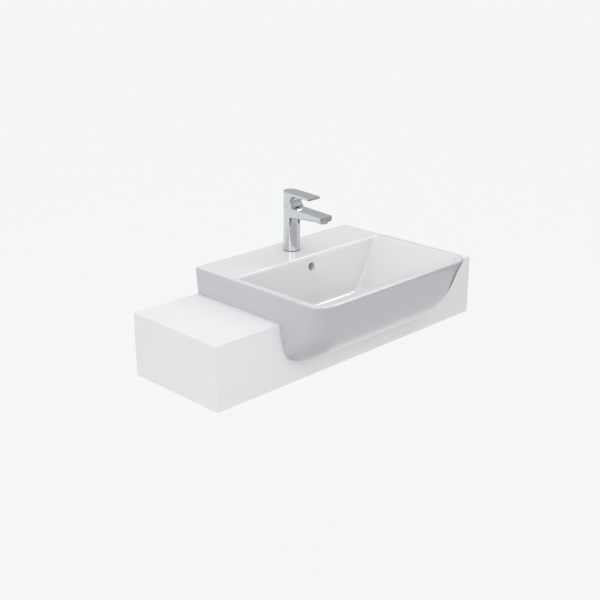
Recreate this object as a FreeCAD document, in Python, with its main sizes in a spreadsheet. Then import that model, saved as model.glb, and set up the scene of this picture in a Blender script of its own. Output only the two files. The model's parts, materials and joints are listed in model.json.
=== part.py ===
import FreeCAD, Part
import math
import os
import Sketcher
from FreeCAD import Placement, Rotation, Vector

# Semi-recessed washbasin with its single-lever mixer, push-open waste and a section of the
# counter that carries it. Millimetres. X runs along the wall, +Y points to the wall and +Z up.
# The origin is at the middle of the basin's depth, on the underside of the counter.

SIZES = {
    "counter section": [
        ("counter_length", 930, "along the wall"),
        ("counter_depth", 300, "wall to counter front"),
        ("counter_height", 162, "underside to top"),
        ("board", 18, "thickness of every counter board"),
        ("cutout_half", 250, "half width of the cut-out"),
        ("cutout_back", 40, "wall to the cut-out's rear edge"),
        ("cutout_low", 60, "counter underside to the cut-out's floor"),
        ("cutout_corner", 60, "radius of the cut-out's lower corners"),
        ("rail_height", 70, "rear rail and bearers"),
        ("bearer_place", 300, "centre line to a bearer's inner face"),
        ("block_side", 24, "glue block section"),
        ("block_length", 100, "glue block length"),
        ("bracket_place", 385, "centre line to a wall bracket"),
        ("bracket_width", 40, "flat steel width"),
        ("bracket_thick", 6, "flat steel thickness"),
        ("bracket_reach", 240, "wall to the end of a bracket's arm"),
        ("bracket_hole_low", 40, "counter underside to the lower wall hole"),
        ("bracket_hole_gap", 60, "between a bracket's two wall holes"),
        ("bracket_hole_radius", 5.5, "for an M10 wall bolt"),
        ("screw_radius", 2, "wood screw core"),
        ("screw_head", 4, "wood screw head radius"),
        ("screw_length", 14, "wood screw below its head"),
    ],
    "ceramic basin": [
        ("basin_width", 550, "over the rim"),
        ("basin_depth", 440, "wall to front rim"),
        ("basin_height", 196, "rim to the lowest point of the front"),
        ("rim_rise", 71.5, "counter top to rim"),
        ("ware", 10, "ceramic wall"),
        ("deck_ware", 14, "ceramic deck"),
        ("front_corner", 46, "plan radius of the front corners at the rim"),
        ("corner_growth", 32, "how much that radius grows to the bottom"),
        ("corner_inset", 0.6, "how fast that radius shrinks inside the ware"),
        ("back_corner", 9, "plan radius of the rear corners"),
        ("side_draft", 0.077, "side lean, mm per mm of depth"),
        ("side_belly", 39, "how far the side curves in at the bottom"),
        ("side_belly_rise", 144, "height of that curve"),
        ("front_draft", 0.285, "front lean, mm per mm of depth"),
        ("front_belly", 125, "how far the front curves in at the bottom"),
        ("front_belly_rise", 126, "height of that curve"),
        ("rim_round", 5, "outer edge of the rim"),
        ("bowl_round", 5, "inner edge of the rim"),
        ("flange_reach", 28, "return flange against the counter front"),
        ("flange_bed", 18, "bedding's width behind that flange"),
        ("seal_gap", 1.5, "bedding between ceramic and counter"),
    ],
    "bowl": [
        ("deck_depth", 136, "wall to the bowl's rear wall at the rim"),
        ("side_rim", 19, "rim width at the sides"),
        ("front_rim", 16, "rim width at the front"),
        ("bowl_depth", 133, "rim to the flat of the bowl"),
        ("ramp", 0.726, "lean of the side walls, mm per mm of depth"),
        ("ramp_fillet", 42, "side wall to floor"),
        ("rear_lean", 0.14, "lean of the rear wall"),
        ("rear_fillet", 14, "rear wall to floor"),
        ("front_lean", 0.36, "lean of the front wall"),
        ("front_fillet", 48, "front wall to floor"),
        ("bowl_back_corner", 6, "plan radius at the rim, rear"),
        ("bowl_back_growth", 12, "growth of that radius to the floor"),
        ("bowl_front_corner", 30, "plan radius at the rim, front"),
        ("bowl_front_growth", 40, "growth of that radius to the floor"),
        ("bowl_ware", 12, "ceramic around the bowl"),
        ("dish_radius", 90, "shallow dish round the waste"),
        ("dish_fall", 4, "fall of that dish"),
        ("overflow_radius", 11, "overflow hole"),
        ("overflow_drop", 31, "rim to the overflow's centre"),
        ("duct_half", 14, "half width of the overflow duct"),
        ("duct_deep", 12, "depth of the overflow duct"),
        ("duct_ware", 8, "ceramic round the duct"),
    ],
    "ceramic holes": [
        ("tap_back", 66, "wall to the tap's axis"),
        ("tap_hole_radius", 17.5, "tap hole"),
        ("wall_hole_radius", 7, "holes for the wall bolts"),
        ("wall_hole_gap", 280, "between the wall bolts"),
        ("wall_hole_rise", 36, "counter top to the wall bolts"),
        ("clamp_place", 243, "centre line to a counter clamp"),
        ("clamp_forward", 60, "basin centre to a counter clamp"),
        ("clamp_boss_radius", 11, "ceramic boss of a clamp"),
        ("clamp_boss_drop", 62, "rim to the boss's lower face"),
        ("clamp_hole_radius", 5, "hole in the boss"),
        ("clamp_hole_deep", 18, "depth of that hole"),
    ],
    "counter clamps": [
        ("clamp_stud_radius", 3, "M6 stud"),
        ("clamp_stud_tail", 14, "stud below the board's underside"),
        ("clamp_plate_thick", 2.5, "clip plate"),
        ("clamp_plate_width", 20, "clip plate"),
        ("clamp_plate_toe", 34, "stud to the plate's outer end"),
        ("clamp_plate_heel", 9, "stud to the plate's inner end"),
        ("clamp_nut_height", 5, "M6 nut"),
        ("clamp_nut_flats", 10, "M6 nut across flats"),
    ],
    "waste": [
        ("waste_forward", 244, "wall to the waste's axis"),
        ("waste_hole_radius", 23, "hole in the ceramic"),
        ("waste_boss_radius", 37, "ceramic boss"),
        ("waste_boss_height", 31, "bowl floor to the boss's lower face"),
        ("waste_seat_radius", 33.5, "recess for the flange"),
        ("waste_seat_deep", 2.5, "recess for the flange"),
        ("waste_flange_radius", 32, "chrome flange"),
        ("waste_flange_thick", 2.5, "chrome flange"),
        ("waste_seal_thick", 1, "flat seal under the flange"),
        ("waste_tube_radius", 21.5, "threaded tube, outside"),
        ("waste_tube_bore", 19, "threaded tube, inside"),
        ("waste_tube_end", 30, "counter underside to the tube's end"),
        ("waste_gasket_height", 7, "tapered gasket"),
        ("waste_gasket_radius", 34, "tapered gasket, wide end"),
        ("waste_gasket_foot", 28, "tapered gasket, lower end"),
        ("waste_washer_thick", 2, "slip washer"),
        ("waste_nut_radius", 31, "backnut"),
        ("waste_nut_height", 9, "backnut"),
        ("waste_lug", 5, "backnut lugs"),
        ("slot_half", 9, "half width of the overflow slots"),
        ("slot_height", 10, "overflow slots"),
        ("tail_radius", 16, "tailpiece, outside"),
        ("tail_bore", 14.5, "tailpiece, inside"),
        ("tail_end", 6, "counter underside to the tailpiece's end"),
        ("tail_collar", 5, "tailpiece collar height"),
        ("bridge_half", 4, "half width of the bridge that holds the click unit"),
        ("bridge_height", 6, "height of that bridge"),
        ("click_radius", 7, "click unit"),
        ("click_height", 26, "click unit"),
        ("click_ware", 1.5, "click unit wall"),
        ("stem_radius", 3, "plug stem"),
        ("stem_foot", 5.1, "plug stem's foot radius"),
        ("stem_foot_thick", 2, "plug stem's foot"),
        ("plug_radius", 30.5, "plug cap"),
        ("plug_edge", 3, "plug cap's rim height"),
        ("plug_crown", 4, "plug cap's crown"),
        ("plug_travel", 7, "open to shut"),
        ("plug_gap", 0.1, "cap to flange when shut"),
        ("plug_seal_radius", 18.6, "seal under the cap"),
        ("plug_seal_height", 3.5, "seal under the cap"),
        ("spring_wire", 1, "click spring's wire, drawn as a sleeve"),
    ],
    "mixer": [
        ("tap_foot_radius", 22.4, "column at the deck"),
        ("tap_neck_radius", 20.6, "column under the spout"),
        ("tap_half", 21, "half width of spout and lever, and their round back's radius"),
        ("tap_gasket_thick", 1.2, "ring between deck and column"),
        ("spout_under", 92, "deck to the spout's underside at the column"),
        ("spout_top", 117, "deck to the spout's top at the column"),
        ("spout_reach", 125, "axis to the spout's tip"),
        ("spout_fall", 3, "degrees that the spout's top falls"),
        ("spout_rise", 3.2, "degrees that the spout's underside rises"),
        ("seam_height", 118, "deck to the seam under the lever"),
        ("seam_radius", 36, "ball that the lever turns on"),
        ("seam_gap", 0.4, "clearance of that ball"),
        ("lever_top", 158, "deck to the lever's top"),
        ("lever_reach", 82, "axis to the lever's tip"),
        ("lever_fall", 2.6, "degrees that the lever's top falls"),
        ("lever_thick", 6.5, "blade at the root"),
        ("notch_radius", 15.4, "hollow between spout and lever"),
        ("notch_place", 15, "axis to the hollow's inner end"),
        ("waterway_half", 9, "half width of the spout's waterway"),
        ("waterway_height", 9, "spout's waterway"),
        ("waterway_rise", 6, "spout's underside to the waterway"),
        ("feed_deep", 1.8, "groove from the cartridge up to the waterway"),
        ("feed_half", 4.5, "half width of that groove"),
        ("aerator_place", 110, "axis to the aerator"),
        ("aerator_radius", 12, "aerator housing"),
        ("aerator_height", 12, "aerator housing"),
        ("aerator_drop", 3.5, "housing below the spout"),
        ("aerator_ware", 2, "aerator housing wall"),
        ("jet_radius", 1.6, "holes of the aerator"),
        ("jet_place", 6, "aerator's axis to those holes"),
        ("insert_radius", 17, "brass insert in the column's foot"),
        ("insert_height", 20, "brass insert in the column's foot"),
        ("inlet_radius", 5, "M10 x 1 hose inlets"),
        ("inlet_deep", 18, "hose inlets"),
        ("inlet_way_radius", 3.5, "from an inlet up to the cartridge"),
        ("inlet_place", 8, "axis to an inlet"),
        ("inlet_forward", 2, "inlets in front of the axis"),
        ("stud_radius", 4, "M8 fixing stud"),
        ("stud_place", 11, "axis to the stud, towards the wall"),
        ("stud_deep", 16, "stud inside the body"),
        ("stud_tail", 58, "deck top to the stud's end"),
        ("shoe_radius", 25, "horseshoe gasket and plate"),
        ("shoe_slot", 14, "half width of their slot"),
        ("shoe_web", 2, "left between their slot and the stud"),
        ("shoe_gasket_thick", 3, "horseshoe gasket"),
        ("shoe_plate_thick", 2.5, "horseshoe plate"),
        ("stud_nut_height", 6.5, "M8 nut"),
        ("stud_nut_flats", 13, "M8 nut across flats"),
    ],
    "cartridge": [
        ("cartridge_radius", 17.5, "bore in the body"),
        ("cartridge_floor", 58, "deck to that bore's floor"),
        ("cartridge_seal_thick", 2, "seal under the cartridge"),
        ("cartridge_height", 36, "cartridge housing"),
        ("cartridge_ware", 2.5, "cartridge housing wall"),
        ("mouth_radius", 9.5, "opening in the cartridge's roof"),
        ("disc_radius", 13.5, "fixed ceramic disc"),
        ("disc_thick", 3.5, "ceramic discs"),
        ("moving_disc_radius", 11, "moving ceramic disc"),
        ("carrier_radius", 11.5, "carrier of the moving disc"),
        ("carrier_height", 8, "carrier of the moving disc"),
        ("carrier_floor", 1, "carrier below its slot"),
        ("gate_low", 8, "housing floor to its outlet's lower edge"),
        ("gate_high", 20, "housing floor to its outlet's upper edge"),
        ("pin_radius", 1.5, "pin that the spindle tilts on"),
        ("rotor_slot", 10, "half length of the slot that the spindle tilts in"),
        ("cartridge_nut_height", 8, "nut over the cartridge"),
        ("cartridge_nut_bore", 12.5, "nut over the cartridge"),
        ("cover_bore", 14, "opening of the cover ring"),
        ("cover_ware", 2.5, "cover ring"),
        ("spindle_ball", 6.5, "ball of the spindle"),
        ("spindle_radius", 4, "spindle"),
        ("spindle_length", 47, "pivot to the spindle's upper end"),
        ("spindle_finger", 13.5, "pivot to the spindle's lower end"),
        ("finger_radius", 3, "spindle's lower end"),
        ("finger_play", 0.4, "between that end and the carrier's slot"),
        ("spindle_lean", 10, "degrees that the shut spindle leans to the user"),
        ("hub_radius", 8, "hub inside the lever"),
        ("lever_ware", 7, "lever's wall round the hub's pocket"),
        ("lever_roof", 11.9, "lever's top over that pocket"),
        ("yoke_half", 6, "half width of the web from hub to wall"),
        ("grub_radius", 2.5, "grub screw"),
        ("grub_length", 10, "grub screw"),
        ("grub_height", 131, "deck to the grub screw"),
        ("cap_radius", 3.4, "cap over the grub screw"),
        ("cap_length", 2.5, "cap over the grub screw"),
    ],
    "clearances": [
        ("free", 0.3, "between pieces of one body that only lie side by side"),
        ("fit", 0.05, "running fit"),
    ],
}


SKIN_SECTIONS, SKIN_CROWD = 11, 1.7      # level outlines of the outer form, and how they crowd at its bottom
FLOOR_SECTIONS, FLOOR_CROWD = 9, 1.9     # the same for the bowl's foot
WALL_SECTIONS = 3                        # and for the straight part of its walls
LIP_SECTIONS = 7                         # and for the rounded edge between rim and bowl
PLUG_CROWN = ((0.9, 0.35), (0.7, 0.67), (0.4, 0.92))    # shares of the plug's radius and of its crown


class Size:
    """A size from the sheet or a sum of such sizes: the text is bound, the value is drawn."""

    def __init__(self, text, value):
        self.text, self.value = text, value

    def __float__(self):
        return float(self.value)

    def __add__(self, other):
        return Size(f"({words(self)} + {words(other)})", float(self) + float(other))

    def __sub__(self, other):
        return Size(f"({words(self)} - {words(other)})", float(self) - float(other))

    def __rsub__(self, other):
        return Size(f"({words(other)} - {words(self)})", float(other) - float(self))

    def __mul__(self, other):
        return Size(f"({words(self)} * {words(other)})", float(self) * float(other))

    def __truediv__(self, other):
        return Size(f"({words(self)} / {words(other)})", float(self) / float(other))

    def __neg__(self):
        return Size(f"(0 - {words(self)})", -float(self))

    __radd__, __rmul__ = __add__, __mul__


def words(item):
    """The text of a size, or of a plain number, for an expression."""
    return item.text if isinstance(item, Size) else f"{float(item):.6f}"


doc = FreeCAD.newDocument("SemiRecessedBasin")
sheet = doc.addObject("Spreadsheet::Sheet", "Sizes")


class Sizes:
    """Every cell of the sheet, by its alias."""


s = Sizes()
row = 1
for heading, cells in SIZES.items():
    sheet.set(f"A{row}", heading)
    for alias, value, note in cells:
        row += 1
        sheet.set(f"A{row}", alias)
        sheet.set(f"B{row}", str(value))
        sheet.set(f"C{row}", note)
        sheet.setAlias(f"B{row}", alias)
        setattr(s, alias, Size(f"Sizes.{alias}", value))
    row += 1
doc.recompute()

pieces = []


# ---------------------------------------------------------------- helpers

def bind(thing, prop, item):
    """Tie a property to the sheet."""
    thing.setExpression(prop, words(item))


def at(thing, x=0, y=0, z=0, turn=None):
    """Put a thing at x, y, z; turn is an axis vector and an angle in degrees."""
    if turn:
        thing.Placement = Placement(Vector(), Rotation(turn[0], float(turn[1])))
    for key, item in zip("xyz", (x, y, z)):
        bind(thing, f"Placement.Base.{key}", item)
    return thing


def block(name, low, high):
    """A box from its lowest to its highest corner."""
    thing = doc.addObject("Part::Box", name)
    for prop, a, b in zip(("Length", "Width", "Height"), low, high):
        bind(thing, prop, b - a if isinstance(b, Size) or isinstance(a, Size) else float(b) - float(a))
    return at(thing, *low)


def slab(name, length, width, height):
    """A box at the origin, to be turned and placed by at()."""
    thing = doc.addObject("Part::Box", name)
    for prop, item in zip(("Length", "Width", "Height"), (length, width, height)):
        bind(thing, prop, item)
    return thing


def rod(name, radius, height, x=0, y=0, z=0, turn=None):
    """A cylinder that starts at x, y, z and runs up, or along the turned axis."""
    thing = doc.addObject("Part::Cylinder", name)
    bind(thing, "Radius", radius)
    bind(thing, "Height", height)
    return at(thing, x, y, z, turn)


def cone(name, low_radius, high_radius, height, x=0, y=0, z=0, turn=None):
    """A cone frustum."""
    thing = doc.addObject("Part::Cone", name)
    bind(thing, "Radius1", low_radius)
    bind(thing, "Radius2", high_radius)
    bind(thing, "Height", height)
    return at(thing, x, y, z, turn)


def ball(name, radius, x=0, y=0, z=0):
    """A sphere."""
    thing = doc.addObject("Part::Sphere", name)
    bind(thing, "Radius", radius)
    return at(thing, x, y, z)


def hexagon(name, flats, height, x=0, y=0, z=0):
    """A hexagonal bar, measured across its flats."""
    thing = doc.addObject("Part::Prism", name)
    thing.Polygon = 6
    bind(thing, "Circumradius", flats / math.sqrt(3))
    bind(thing, "Height", height)
    return at(thing, x, y, z)


def cut(name, base, *tools):
    """Base without its tools."""
    for tool in tools:
        result = doc.addObject("Part::Cut", name)
        result.Base, result.Tool, result.Refine = base, tool, False
        base = result
    return base


def join(name, *things):
    """Things made one."""
    result = doc.addObject("Part::MultiFuse", name)
    result.Shapes = list(things)
    result.Refine = True
    return result


def common(name, *things):
    """What things share."""
    result = doc.addObject("Part::MultiCommon", name)
    result.Shapes = list(things)
    return result


def group(name, *things):
    """Separate solids that share a node."""
    result = doc.addObject("Part::Compound", name)
    result.Links = list(things)
    return result


def drawn(name, shape):
    """A shape drawn with Part's own functions."""
    thing = doc.addObject("Part::Feature", name)
    thing.Shape = shape
    return thing


def rounded(name, base, radius, wanted):
    """Fillet the edges for which wanted(edge) is true."""
    doc.recompute()
    result = doc.addObject("Part::Fillet", name)
    result.Base = base
    result.Edges = [(number, float(radius), float(radius))
                    for number, edge in enumerate(base.Shape.Edges, 1) if wanted(edge)]
    return result


def turned(name, profile, x=0, y=0, z=0):
    """A body turned about its own Z axis from (radius, height) corners."""
    body = doc.addObject("PartDesign::Body", name)
    sketch = body.newObject("Sketcher::SketchObject", name + "Profile")
    plane = next(item for item in body.Origin.OriginFeatures if item.Role == "XZ_Plane")
    sketch.AttachmentSupport = (plane, [""])
    sketch.MapMode = "FlatFace"
    count = len(profile)
    corners = [Vector(float(radius), float(height), 0) for radius, height in profile]
    for number in range(count):
        sketch.addGeometry(Part.LineSegment(corners[number], corners[(number + 1) % count]))
    for number in range(count):
        sketch.addConstraint(Sketcher.Constraint("Coincident", number, 2, (number + 1) % count, 1))
    for number, corner in enumerate(profile):
        for kind, axis, item in zip(("DistanceX", "DistanceY"), (-2, -1), corner):
            if float(item) == 0:
                sketch.addConstraint(Sketcher.Constraint("PointOnObject", number, 1, axis))
                continue
            place = sketch.addConstraint(Sketcher.Constraint(kind, -1, 1, number, 1, float(item)))
            sketch.setExpression(f"Constraints[{place}]", words(item))
    turn = body.newObject("PartDesign::Revolution", name + "Turn")
    turn.Profile = sketch
    turn.ReferenceAxis = (sketch, ["V_Axis"])
    turn.Angle = 360
    return at(body, x, y, z)


def piece(name, thing):
    """Name a finished sub-part."""
    thing.Label = name
    pieces.append((name, thing))
    return thing


X, Y, Z = Vector(1, 0, 0), Vector(0, 1, 0), Vector(0, 0, 1)

# ---------------------------------------------------------------- shared levels and planes

wall = s.basin_depth / 2
rim_front = -(s.basin_depth / 2)
counter_front = wall - s.counter_depth
counter_top = s.counter_height
rim = s.counter_height + s.rim_rise
foot = counter_top + s.seal_gap
flange_back = counter_front - s.seal_gap
deck_under = rim - s.deck_ware
half_length = s.counter_length / 2
top_under = s.counter_height - s.board
apron_back = counter_front + s.board
waste_y = wall - s.waste_forward
tap_y = wall - s.tap_back
bowl_floor = rim - s.bowl_depth - s.dish_fall
waste_seat = bowl_floor - s.waste_seat_deep
boss_low = bowl_floor - s.waste_boss_height


# ---------------------------------------------------------------- counter section

def bracket_screw_places():
    """Where the screws of a bracket's arm stand, from front to wall."""
    last = wall - s.bracket_width
    first = wall - s.bracket_reach + s.bracket_width / 2
    return [first, (first + last) / 2, last]


def counter():
    """Boards, brackets and screws of the counter section."""
    notch = block("Notch", (-s.cutout_half, counter_front - s.board, top_under - s.board),
                  (s.cutout_half, wall - s.cutout_back, s.counter_height + s.board))
    top = block("Top", (-half_length, counter_front, top_under), (half_length, wall, counter_top))
    pilots = []
    for side in (-1, 1):
        for y in bracket_screw_places():
            pilots.append(rod("Pilot", s.screw_radius + s.fit, s.screw_length, side * s.bracket_place, y,
                              top_under - s.bracket_thick))
    piece("counter_top", cut("CounterTop", top, notch, *pilots))

    apron = block("Apron", (-half_length, counter_front, 0.0), (half_length, apron_back, top_under))
    corner_x = s.cutout_half - s.cutout_corner
    corner_z = s.cutout_low + s.cutout_corner
    start = counter_front - s.board
    upper = block("Upper", (-s.cutout_half, start, corner_z), (s.cutout_half, apron_back + s.board, counter_top))
    lower = block("Lower", (-corner_x, start, s.cutout_low), (corner_x, apron_back + s.board, corner_z + s.free))
    corners = [rod("Corner", s.cutout_corner, s.board * 3, side * corner_x, start, corner_z, (X, -90))
               for side in (-1, 1)]
    piece("front_apron", cut("FrontApron", apron, join("ApronCut", upper, lower, *corners)))

    for side, name in ((-1, "end_panel_left"), (1, "end_panel_right")):
        inner = half_length - s.board
        low = -half_length if side < 0 else inner
        high = -inner if side < 0 else half_length
        piece(name, block("EndPanel", (low, apron_back, 0.0), (high, wall, top_under)))

    rail_low = top_under - s.rail_height
    piece("rear_rail", block("RearRail", (-s.bearer_place, wall - s.board, rail_low),
                             (s.bearer_place, wall, top_under)))
    for side, name in ((-1, "bearer_left"), (1, "bearer_right")):
        outer = s.bearer_place + s.board
        low = -outer if side < 0 else s.bearer_place
        high = -s.bearer_place if side < 0 else outer
        piece(name, block("Bearer", (low, apron_back, rail_low), (high, wall, top_under)))

    blocks = []
    screws = []
    for side in (-1, 1):
        inner = side * (half_length - s.board)
        edge = inner - side * s.block_side
        low, high = (inner, edge) if side < 0 else (edge, inner)
        for y in (apron_back, wall - s.board - s.block_side):
            blocks.append(block("GlueBlock", (low, y, top_under - s.block_length),
                                (high, y + s.block_side, top_under)))
    piece("corner_blocks", group("CornerBlocks", *blocks))

    for side, name in ((-1, "wall_bracket_left"), (1, "wall_bracket_right")):
        middle = side * s.bracket_place
        left, right = middle - s.bracket_width / 2, middle + s.bracket_width / 2
        arm = block("Arm", (left, wall - s.bracket_reach, top_under - s.bracket_thick), (right, wall, top_under))
        leg_low = s.bracket_hole_low - s.bracket_width / 2
        leg = block("Leg", (left, wall - s.bracket_thick, leg_low), (right, wall, top_under))
        bracket = join("Bracket", arm, leg)
        for step in (0, 1):
            height = s.bracket_hole_low + step * s.bracket_hole_gap
            bracket = cut("Bracket", bracket, rod("WallHole", s.bracket_hole_radius, s.bracket_thick * 3, middle,
                                                  wall - s.bracket_thick * 2, height, (X, -90)))
        for y in bracket_screw_places():
            hole = rod("ScrewHole", s.screw_radius + s.fit, s.bracket_thick * 2, middle, y,
                       top_under - s.bracket_thick * 1.5)
            bracket = cut("Bracket", bracket, hole)
            head_low = top_under - s.bracket_thick - s.screw_radius
            shank = rod("Shank", s.screw_radius, s.screw_length + s.screw_radius, middle, y, head_low)
            head = rod("Head", s.screw_head, s.screw_radius, middle, y, head_low)
            screws.append(join("Screw", shank, head))
        piece(name, bracket)
    piece("bracket_screws", group("BracketScrews", *screws))


counter()


# ---------------------------------------------------------------- ceramic forms

def plan(half, back, front, back_radius, front_radius, z):
    """A level outline: a rectangle with its own radii at the rear and the front corners."""
    corners = [(half, back, back_radius), (half, front, front_radius), (-half, front, front_radius),
               (-half, back, back_radius)]
    signs = [(1, 1), (1, -1), (-1, -1), (-1, 1)]
    arcs = []
    for (x, y, radius), (along, across) in zip(corners, signs):
        centre = Vector(x - along * radius, y - across * radius, z)
        begin = Vector(x, centre.y, z)
        middle = centre + Vector(along, across, 0) * (radius * math.sqrt(0.5))
        end = Vector(centre.x, y, z)
        if along * across > 0:
            begin, end = end, begin
        arcs.append((begin, middle, end))
    edges = []
    for number, (begin, middle, end) in enumerate(arcs):
        edges.append(Part.Arc(begin, middle, end).toShape())
        edges.append(Part.LineSegment(end, arcs[(number + 1) % 4][0]).toShape())
    return Part.Wire(edges)


def quarter(part, reach):
    """How far a quarter ellipse has come in at this part of its height."""
    part = min(max(part, 0.0), 1.0)
    return reach * (1 - math.sqrt(1 - part * part))


def levels(depth, count, crowd):
    """Depths from 0 to depth that crowd together near the bottom."""
    return [depth * (1 - (1 - step / count) ** crowd) for step in range(count + 1)]


def stand_out(lean):
    """What a leaning wall needs at its top, so that its rounded edge reaches the nominal size."""
    return float(s.rim_round) * (lean + math.sqrt(1 + lean ** 2) - 1)


def outer_form(name, inset, top):
    """The basin's outer skin, drawn in by inset; its top lies this far below the rim."""
    full = float(s.basin_height)
    depth = full - inset
    side, front = float(s.side_draft), float(s.front_draft)
    side_start = full - float(s.side_belly_rise)
    front_start = full - float(s.front_belly_rise)
    wires = []
    for down in [top + level for level in levels(depth - top, SKIN_SECTIONS, SKIN_CROWD)]:
        share = down * full / depth
        side_in = side * share - stand_out(side) + quarter((share - side_start) / (full - side_start),
                                                           float(s.side_belly))
        front_in = front * share - stand_out(front) + quarter((share - front_start) / (full - front_start),
                                                              float(s.front_belly))
        radius = float(s.front_corner) + float(s.corner_growth) * math.sqrt(share / full)
        wires.append(plan(float(s.basin_width) / 2 - side_in - inset, float(wall) - inset,
                          float(rim_front) + front_in + inset, max(float(s.back_corner) - inset, float(s.seal_gap)),
                          radius - inset * float(s.corner_inset), float(rim) - down))
    return drawn(name, Part.makeLoft(wires, True, False))


def bowl_form(name, swell):
    """The hollow of the bowl, or with a swell the ceramic round it."""
    depth = float(s.bowl_depth)
    walls = {}
    for key, lean, radius in (("side", s.ramp, s.ramp_fillet), ("rear", s.rear_lean, s.rear_fillet),
                              ("front", s.front_lean, s.front_fillet)):
        angle = math.atan(float(lean))
        walls[key] = (float(lean), float(radius), angle, depth - float(radius) * (1 - math.sin(angle)))

    def come_in(key, down):
        lean, radius, angle, start = walls[key]
        if down <= start:
            return lean * down
        height = depth - down
        return lean * start + radius * math.cos(angle) - math.sqrt(max(radius ** 2 - (radius - height) ** 2, 0.0))

    def level(down):
        share = down / depth
        half = float(s.basin_width) / 2 - float(s.side_rim) - come_in("side", down) + swell
        back = float(wall) - float(s.deck_depth) - come_in("rear", down) + swell
        front = float(rim_front) + float(s.front_rim) + come_in("front", down) - swell
        rear_radius = float(s.bowl_back_corner) + float(s.bowl_back_growth) * share ** 2 + swell
        front_radius = float(s.bowl_front_corner) + float(s.bowl_front_growth) * share + swell
        return plan(half, back, front, rear_radius, front_radius, float(rim) - down - swell * share)

    bend = min(start for lean, radius, angle, start in walls.values())
    straight = [level(bend * step / WALL_SECTIONS) for step in range(WALL_SECTIONS + 1)]
    curved = [level(bend + down) for down in levels(depth - bend, FLOOR_SECTIONS, FLOOR_CROWD)]
    upper = drawn(name + "Upper", Part.makeLoft(straight, True, True))
    lower = drawn(name + "Lower", Part.makeLoft(curved, True, False))
    return join(name, upper, lower)


def flare(lean, radius, down):
    """How far the rounded edge of a leaning wall stands back from that wall, this far below the rim."""
    angle = math.atan(lean)
    if down >= radius * (1 - math.sin(angle)):
        return 0.0
    centre = radius * (math.cos(angle) - math.tan(angle) * (1 - math.sin(angle)))
    return centre - math.sqrt(radius ** 2 - (radius - down) ** 2) + lean * down


def lip_form(name):
    """The flare that rounds the inner edge of the rim."""
    radius = float(s.bowl_round)
    deepest = radius * (1 - math.sin(math.atan(float(s.rear_lean))))
    wires = []
    for step in range(LIP_SECTIONS + 1):
        down = deepest * (1 - math.cos(math.radians(90 * step / LIP_SECTIONS)))
        side, rear, front = (flare(float(lean), radius, down) for lean in (s.ramp, s.rear_lean, s.front_lean))
        half = float(s.basin_width) / 2 - float(s.side_rim) - float(s.ramp) * down + side
        back = float(wall) - float(s.deck_depth) - float(s.rear_lean) * down + rear
        fore = float(rim_front) + float(s.front_rim) + float(s.front_lean) * down - front
        wires.append(plan(half, back, fore, float(s.bowl_back_corner) + rear,
                          float(s.bowl_front_corner) + front, float(rim) - down))
    return drawn(name, Part.makeLoft(wires, True, False))


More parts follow.
